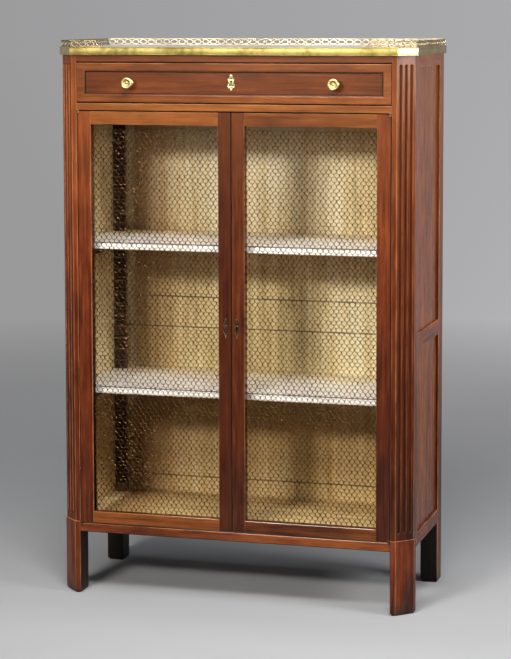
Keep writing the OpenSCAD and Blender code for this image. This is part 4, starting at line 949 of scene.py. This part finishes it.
def netting(side):
    """The net of one door, cut to the size of its rebate."""
    low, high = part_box(f"door_{side}_net")
    bm = bmesh.new()
    woven_mesh(bm, low.x + mesh_wide * 0.25, low.z + row_high * 0.5)
    woven_mesh(bm, low.x + mesh_wide * 0.75, low.z + row_high * 1.5)
    bmesh.ops.translate(bm, verts=bm.verts, vec=(0, (low.y + high.y) / 2, 0))
    mesh = bpy.data.meshes.new("one_mesh")
    bm.to_mesh(mesh)
    bm.free()
    loom = bpy.data.objects.new("loom", mesh)
    scene.collection.objects.link(loom)
    for name, count, step in (("across", columns, (mesh_wide, 0, 0)),
                              ("upwards", pair_rows, (0, 0, 2 * row_high))):
        array = loom.modifiers.new(name, "ARRAY")
        array.use_relative_offset, array.use_constant_offset = False, True
        array.count, array.constant_offset_displace = count, step
    bpy.context.view_layer.update()
    graph = bpy.context.evaluated_depsgraph_get()
    bm = bmesh.new()
    bm.from_mesh(bpy.data.meshes.new_from_object(loom.evaluated_get(graph)))
    for spot, way in (((low.x, 0, 0), (-1, 0, 0)), ((high.x, 0, 0), (1, 0, 0)),
                      ((0, 0, low.z), (0, 0, -1)), ((0, 0, high.z), (0, 0, 1))):
        bmesh.ops.bisect_plane(bm, geom=[*bm.verts, *bm.edges, *bm.faces], plane_co=spot,
                               plane_no=way, clear_outer=True)
    bpy.data.objects.remove(loom)
    for vert in bm.verts:
        drift = noise_vector(vert.co * DRIFT_WAVES)
        vert.co += Vector((drift.x, 0.3 * drift.y, drift.z)) * DRIFT
    net = finished(bm, f"netting_{side}", [wire_metal], f"{side}_door", "brass",
                   f"door_{side}_net", smooth=70)
    print(net.name, "triangles", sum(len(p.vertices) - 2 for p in net.data.polygons))


seed_set(DRIFT_SEED)
for side in ("left", "right"):
    netting(side)

# %% [markdown]
# ## The brass edge band
# A flat brass band hides the edge of the marble. It follows the canted outline and has a small
# half-round lip along its upper and its lower edge. A curve with a profile would swell at the
# corners, so the plan of one wall is drawn as two outlines that are bridged, the wall is pulled
# up from it, and its long edges are rounded. The same tool then makes the foot and the rim of
# the gallery.

# %% Make the walls that follow the outline
HALF_W, FRONT_Y, BACK_Y, CANT = 0.457, -0.183, 0.207, 0.038
MITRE = math.tan(math.radians(22.5))
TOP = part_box("marble_top")[1].z
BAND_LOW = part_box("band_front")[0].z
RETURN_X = -HALF_W + CANT + 0.080


def outline(offset, back=BACK_Y, end=RETURN_X):
    """Corners of the left half of the top, moved outwards, from the back to the front."""
    return [(-HALF_W - offset, back), (-HALF_W - offset, FRONT_Y + CANT - offset * MITRE),
            (-HALF_W + CANT - offset * MITRE, FRONT_Y - offset), (end, FRONT_Y - offset)]


def wall(bm, inner, outer, low, high, radius, segments=2):
    """A wall between two rows of plan points; its upper and lower edges are rounded."""
    rows = []
    for row in (inner, outer):
        spots = [bm.verts.new((x, y, low)) for x, y in row]
        rows.append([bm.edges.new(pair) for pair in zip(spots, spots[1:])])
    faces = bmesh.ops.bridge_loops(bm, edges=rows[0] + rows[1])["faces"]
    lifted = bmesh.ops.extrude_face_region(bm, geom=faces, use_keep_orig=True)["geom"]
    top = [g for g in lifted if isinstance(g, bmesh.types.BMVert)]
    bmesh.ops.translate(bm, verts=top, vec=(0, 0, high - low))
    whole = unique([*top, *(v for face in faces for v in face.verts)])
    bmesh.ops.recalc_face_normals(bm, faces=unique(f for v in whole for f in v.link_faces))
    edges = unique(e for v in whole for e in v.link_edges
                   if abs(e.verts[0].co.z - e.verts[1].co.z) < SAME_SPOT
                   and sum(abs(f.normal.z) > 0.9 for f in e.link_faces) == 1)
    bmesh.ops.bevel(bm, geom=edges, offset=radius, offset_type="OFFSET", segments=segments,
                    profile=0.5, affect="EDGES", clamp_overlap=True, material=-1)


def to_right(bm):
    """Turns a left piece into the right one."""
    bmesh.ops.scale(bm, vec=(-1, 1, 1), verts=bm.verts)
    bmesh.ops.recalc_face_normals(bm, faces=bm.faces)


print("returns end at x =", round(RETURN_X, 4))

# %% Make the three parts of the band
BAND_IN, BAND_OUT, LIP_IN, LIP_OUT = 0.0045, 0.0063, 0.0057, 0.0074
BAND_ROUND, LIP_ROUND = 0.0005, 0.0008
lips = ((0.0006, 0.0028), (0.0172, 0.0194))


def band(bm, plan):
    """The flat wall of the band and its two lips; plan gives the points for an offset."""
    wall(bm, plan(BAND_IN), plan(BAND_OUT), BAND_LOW, TOP, BAND_ROUND)
    for low, high in lips:
        wall(bm, plan(LIP_IN), plan(LIP_OUT), BAND_LOW + low, BAND_LOW + high, LIP_ROUND, 3)


def straight(offset, end=-RETURN_X - 0.0002):
    """Plan of the short front part, a hair shorter than the gap between the returns."""
    return [(-end, FRONT_Y - offset), (end, FRONT_Y - offset)]


for side in ("left", "right"):
    bm = bmesh.new()
    band(bm, outline)
    if side == "right":
        to_right(bm)
    bm.normal_update()
    # Side faces get the brass with painted shade, cant faces the brass with a painted highlight.
    for face in bm.faces:
        across, along = abs(face.normal.x), abs(face.normal.y)
        on_side = abs(face.calc_center_median().x) > HALF_W and along < 0.3
        face.material_index = 1 if on_side else 2 if across > 0.3 and along > 0.3 else 0
    finished(bm, "band_worked_" + side, [brass, brass_side_shade, brass_cant_highlight], "carcase", "brass",
             "band_" + side, smooth=40)

bm = bmesh.new()
band(bm, straight)
finished(bm, "band_worked_front", [brass], "carcase", "brass", "band_front", smooth=40)
print("band from", round(BAND_LOW, 4), "to", round(TOP, 4))

# %% [markdown]
# ## The pierced gallery
# The gallery is sheet brass, pierced so that a chain of oval rings is left between a foot and a
# rolled rim, with a small bead where two rings meet. Cutting holes with booleans leaves ragged
# meshes, so each ring is made flat: two ellipses are bridged, given a thickness and chamfered.
# Rings and beads are set out along a straight run, and the run is turned into its place.

# %% Make a ring and a bead
GALLERY_IN, GALLERY_OUT = 0.0015, 0.0035
FOOT, RIM = 0.0014, 0.0024
GALLERY_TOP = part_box("gallery_back")[1].z
web = GALLERY_TOP - RIM - TOP - FOOT
web_middle = TOP + FOOT + web / 2


def flat_ring(bm, middle, outer, inner, thick, chamfer, sides):
    """An oval ring in the XZ plane; outer and inner are pairs of half width and half height."""
    edges, spots = [], []
    for wide, high in (outer, inner):
        circle = bmesh.ops.create_circle(bm, segments=sides, radius=1.0, cap_ends=False)["verts"]
        bmesh.ops.transform(bm, verts=circle, matrix=Matrix.Translation(middle)
                            @ Matrix.Rotation(math.pi / 2, 4, "X")
                            @ Matrix.Diagonal((wide, high, 1, 1)))
        edges += unique(e for v in circle for e in v.link_edges)
        spots += circle
    faces = bmesh.ops.bridge_loops(bm, edges=edges)["faces"]
    pushed = bmesh.ops.extrude_face_region(bm, geom=faces, use_keep_orig=True)["geom"]
    far = [g for g in pushed if isinstance(g, bmesh.types.BMVert)]
    bmesh.ops.translate(bm, verts=far, vec=(0, thick, 0))
    whole = spots + far
    bmesh.ops.recalc_face_normals(bm, faces=unique(f for v in whole for f in v.link_faces))
    rims = unique(e for v in whole for e in v.link_edges
                  if sum(abs(f.normal.y) > 0.9 for f in e.link_faces) == 1)
    bmesh.ops.bevel(bm, geom=rims, offset=chamfer, offset_type="OFFSET", segments=1,
                    profile=0.5, affect="EDGES", clamp_overlap=True, material=-1)


def bead(bm, middle, radius, thick):
    """A small round bead, flattened across the sheet."""
    ball = bmesh.ops.create_uvsphere(bm, u_segments=10, v_segments=6, radius=radius)["verts"]
    bmesh.ops.transform(bm, verts=ball, matrix=Matrix.Translation(middle)
                        @ Matrix.Diagonal((1, thick / 2 / radius, 1, 1)))


print("pierced part of the gallery", round(web, 4), "high")

# %% Set bays along a run
BAY, RING_SHARE = 0.0216, 0.455
RING_WIDE, RING_HIGH, RING_CHAMFER = 0.0026, 0.0023, 0.00045
BEAD = 0.0021


def run_of_bays(bm, start, heading, length):
    """Rings and beads along a straight run that starts at a plan point."""
    count = round(length / BAY)
    step = length / count
    chain = bmesh.new()
    thick = GALLERY_OUT - GALLERY_IN
    half = step * RING_SHARE
    for number in range(count):
        flat_ring(chain, (step * (number + 0.5), 0, web_middle), (half, web / 2 + 0.0004),
                  (half - RING_WIDE, web / 2 - RING_HIGH), thick, RING_CHAMFER, 22)
        if number:
            bead(chain, (step * number, thick / 2, web_middle), BEAD, thick * 1.15)
    bmesh.ops.transform(chain, verts=chain.verts, matrix=Matrix.Translation((*start, 0))
                        @ Matrix.Rotation(heading, 4, "Z"))
    part = bpy.data.meshes.new("chain")
    chain.to_mesh(part)
    chain.free()
    bm.from_mesh(part)
    bpy.data.meshes.remove(part)
    return count


print("bays of about", BAY)

# %% [markdown]
# ## The sides and the back of the gallery
# Each side runs from the back along the side, the cant and a short return, which ends in a
# hollow sweep: a bead that falls from the rim to the marble with a small curl. The back is one
# straight run. The foot and the rim are walls, and the rim is thicker and rounder.

# %% Make the sides of the gallery with their returns
SWEEP, CURL = 0.0135, 0.0026
FOOT_DEEP, FOOT_ROUND, RIM_ROUND = 0.006, 0.0004, 0.0009
PROUD = 0.0006
side_back = BACK_Y - 0.002
rim_low = GALLERY_TOP - RIM
for side in ("left", "right"):
    bm = bmesh.new()
    corners = outline(GALLERY_OUT, side_back)
    wall(bm, outline(GALLERY_OUT - FOOT_DEEP, side_back, RETURN_X - 0.001),
         outline(GALLERY_OUT, side_back, RETURN_X - 0.001), TOP, TOP + FOOT, FOOT_ROUND)
    wall(bm, outline(GALLERY_IN - PROUD, side_back - PROUD, RETURN_X - SWEEP),
         outline(GALLERY_OUT + PROUD, side_back - PROUD, RETURN_X - SWEEP), rim_low,
         GALLERY_TOP, RIM_ROUND, 3)
    bays = 0
    for first, second, before, after in ((corners[0], corners[1], 0.002, 0.001),
                                         (corners[1], corners[2], 0.001, 0.001),
                                         (corners[2], corners[3], 0.001, SWEEP + 0.002)):
        way = Vector(second) - Vector(first)
        heading = math.atan2(way.y, way.x)
        start = Vector(first) + way.normalized() * before
        bays += run_of_bays(bm, start, heading, way.length - before - after)
    bend = bmesh.new()
    ring = bmesh.ops.create_circle(bend, segments=10, radius=0.0013, cap_ends=True)["verts"]
    hub = Vector((RETURN_X, FRONT_Y - (GALLERY_IN + GALLERY_OUT) / 2, rim_low + 0.0012))
    bmesh.ops.transform(bend, verts=ring,
                        matrix=Matrix.Translation(hub - Vector((SWEEP, 0, 0))))
    bmesh.ops.spin(bend, geom=[*bend.verts, *bend.edges, *bend.faces], cent=hub, axis=(0, -1, 0),
                   dvec=(0, 0, 0), angle=math.radians(84), steps=10)
    bmesh.ops.recalc_face_normals(bend, faces=bend.faces)
    flat_ring(bend, hub + Vector((0.0006, -0.001, -SWEEP + 0.0002)), (CURL, CURL),
              (0.0010, 0.0010), 0.002, 0.0004, 16)
    part = bpy.data.meshes.new("sweep")
    bend.to_mesh(part)
    bend.free()
    bm.from_mesh(part)
    if side == "right":
        to_right(bm)
    # The sides of the gallery wear the brass with painted shade.
    piece = finished(bm, "gallery_worked_" + side, [brass_side_shade], "carcase", "brass",
                     "gallery_" + side, smooth=40)
    print(piece.name, "bays", bays, "faces", len(piece.data.polygons))

# %% Make the back of the gallery
SHEET = 0.002
bm = bmesh.new()
reach = HALF_W + GALLERY_OUT
for first, last, deep_in, low, high, radius, steps in (
        (-reach + FOOT_DEEP, reach - FOOT_DEEP, FOOT_DEEP, TOP, TOP + FOOT, FOOT_ROUND, 2),
        (-reach, reach, SHEET + PROUD, rim_low, GALLERY_TOP, RIM_ROUND, 3),
        (-reach, -reach + SHEET, SHEET, TOP, rim_low, 0.0003, 2),
        (reach - SHEET, reach, SHEET, TOP, rim_low, 0.0003, 2)):
    wall(bm, [(first, BACK_Y - deep_in), (last, BACK_Y - deep_in)],
         [(first, BACK_Y), (last, BACK_Y)], low, high, radius, steps)
bays = run_of_bays(bm, (-reach + SHEET, BACK_Y - SHEET), 0.0, 2 * (reach - SHEET))
# The back of the gallery wears the brass with painted light.
piece = finished(bm, "gallery_worked_back", [brass_back_light], "carcase", "brass", "gallery_back",
                 smooth=40)
print(piece.name, "bays", bays, "faces", len(piece.data.polygons))

# %% [markdown]
# ## Knobs
# Each knob is turned: a small foot, a slim neck and a wide dished head with a raised ring.
# Stacked cylinders would show steps, so its profile is a chain of points that is spun once round
# the axis, as on a lathe. The dish has a browner finish, because no cloth reaches into it.

# %% Turn the knobs
KNOB_X, DISH, DISH_DEPTH = 0.265, 0.0090, 0.024
knob_low, knob_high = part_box("drawer_knobs")
profile = ((0.0, 0.0), (0.0092, 0.0), (0.0094, 0.0008), (0.0090, 0.0016), (0.0080, 0.0026),
           (0.0058, 0.0034), (0.0048, 0.0048), (0.0043, 0.0080), (0.0041, 0.0140),
           (0.0043, 0.0175), (0.0056, 0.0195), (0.0092, 0.0207), (0.0124, 0.0220),
           (0.0138, 0.0236), (0.0140, 0.0252), (0.0135, 0.0267), (0.0124, 0.0277),
           (0.0112, 0.0280), (0.0101, 0.0277), (0.0094, 0.0268), (0.0088, 0.0256),
           (0.0066, 0.0248), (0.0042, 0.0247), (0.0036, 0.0254), (0.0026, 0.0260), (0.0, 0.0262))
bm = bmesh.new()
for sign in (-1, 1):
    centre = Vector((sign * KNOB_X, knob_high.y, (knob_low.z + knob_high.z) / 2))
    spots = [bm.verts.new(centre + Vector((radius, -out, 0))) for radius, out in profile]
    chain = [bm.edges.new(pair) for pair in zip(spots, spots[1:])]
    bmesh.ops.spin(bm, geom=spots + chain, cent=centre, axis=(0, 1, 0), dvec=(0, 0, 0),
                   angle=math.tau, steps=40, use_merge=True)
bmesh.ops.remove_doubles(bm, verts=bm.verts, dist=SAME_SPOT)
bmesh.ops.recalc_face_normals(bm, faces=bm.faces)
for face in bm.faces:
    middle = face.calc_center_median()
    from_axis = math.hypot(abs(middle.x) - KNOB_X, middle.z - centre.z)
    face.material_index = int(from_axis < DISH and middle.y < knob_high.y - DISH_DEPTH)
knobs = finished(bm, "knobs_turned", [brass_knob, brass_dish], "drawer", "brass", "drawer_knobs",
                 smooth=50)
print(knobs.name, "faces", len(knobs.data.polygons), "box", knob_low, knob_high)

# %% [markdown]
# ## Escutcheons
# The key plates are cut from sheet and chased: a bright border stands round a sunk, browner
# ground. Relief in the material alone would not catch the light along its edge, so the front
# face of a copy of each CAD plate is inset, and the inner part pressed in. The face is cut into
# triangles first, because the keyhole makes it too crooked for one even inset.

# %% Chase the escutcheons
SUNK, WIDE_BORDER, FINE_BORDER = 0.0004, 0.0019, 0.0010


def front_faces(bm, front):
    """Faces that lie in the front plane of a plate."""
    return [f for f in bm.faces
            if f.normal.y < -0.9 and abs(f.calc_center_median().y - front) < 1e-5]


def chased(node, body, bright, ground, border):
    """Copy of a plate with a raised border."""
    bm = copy_of(node)
    front = min(v.co.y for v in bm.verts)
    bmesh.ops.triangulate(bm, faces=front_faces(bm, front))
    faces = front_faces(bm, front)
    bmesh.ops.inset_region(bm, faces=faces, thickness=border, depth=-SUNK,
                           use_even_offset=True, use_boundary=True)
    for face in faces:
        face.material_index = 1
    return finished(bm, node + "_chased", [bright, ground], body, "brass", node, smooth=35)


for node, body, bright, border in (
        ("drawer_escutcheon", "drawer", brass_knob, WIDE_BORDER),
        ("door_left_escutcheon", "left_door", brass_dark, FINE_BORDER),
        ("door_right_escutcheon", "right_door", brass_dark, FINE_BORDER)):
    piece = chased(node, body, bright, brass_black, border)
    print(piece.name, "faces", len(piece.data.polygons))

# %% [markdown]
# ## The other CAD pieces
# The rest of the pieces have the right shape already, so their meshes are left alone. Each gets
# the finish of its kind: a table of finishes with the pieces that wear them is easy to read and
# shows at once when one is missing.

# %% Finish the CAD pieces
plain_finishes = (
    (side_panel, "panels_left panels_right"),
    (paint_back, "back_frame back_panels"),
    (paint_bottom, "bottom_board"),
    (paint_upright, "lining_left lining_right"),
    (white_marble, "marble_top"),
    (cleat_wood, "shelf_cleats"),
    (oak_level, "dust_board under_top drawer_back drawer_bottom"),
    (oak_deep, "drawer_runners drawer_kickers drawer_sides"),
    (upright, "door_left_beads door_right_beads"),
    (brass_dark, "drawer_lock door_right_bolt pivot_plates door_left_pivots door_right_pivots"),
    (iron, "drawer_bolt door_right_lock door_left_fittings door_left_bolt_top "
           "door_left_bolt_bottom"),
)
dressed = set()
for finish, names in plain_finishes:
    for node in names.split():
        dressed.add(node)
        for slot in frame["nodes"][node].material_slots:
            slot.material = finish
left_over = [n for n, o in frame["nodes"].items() if n not in dressed and not o.hide_render]
print(len(dressed), "CAD pieces finished, without a finish:", left_over)

# %% [markdown]
# ## Last step
# The size of the dressed object is printed.

# %% Print the size
low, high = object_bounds()
print("visual box", [round(v, 4) for v in (*low, *high)])
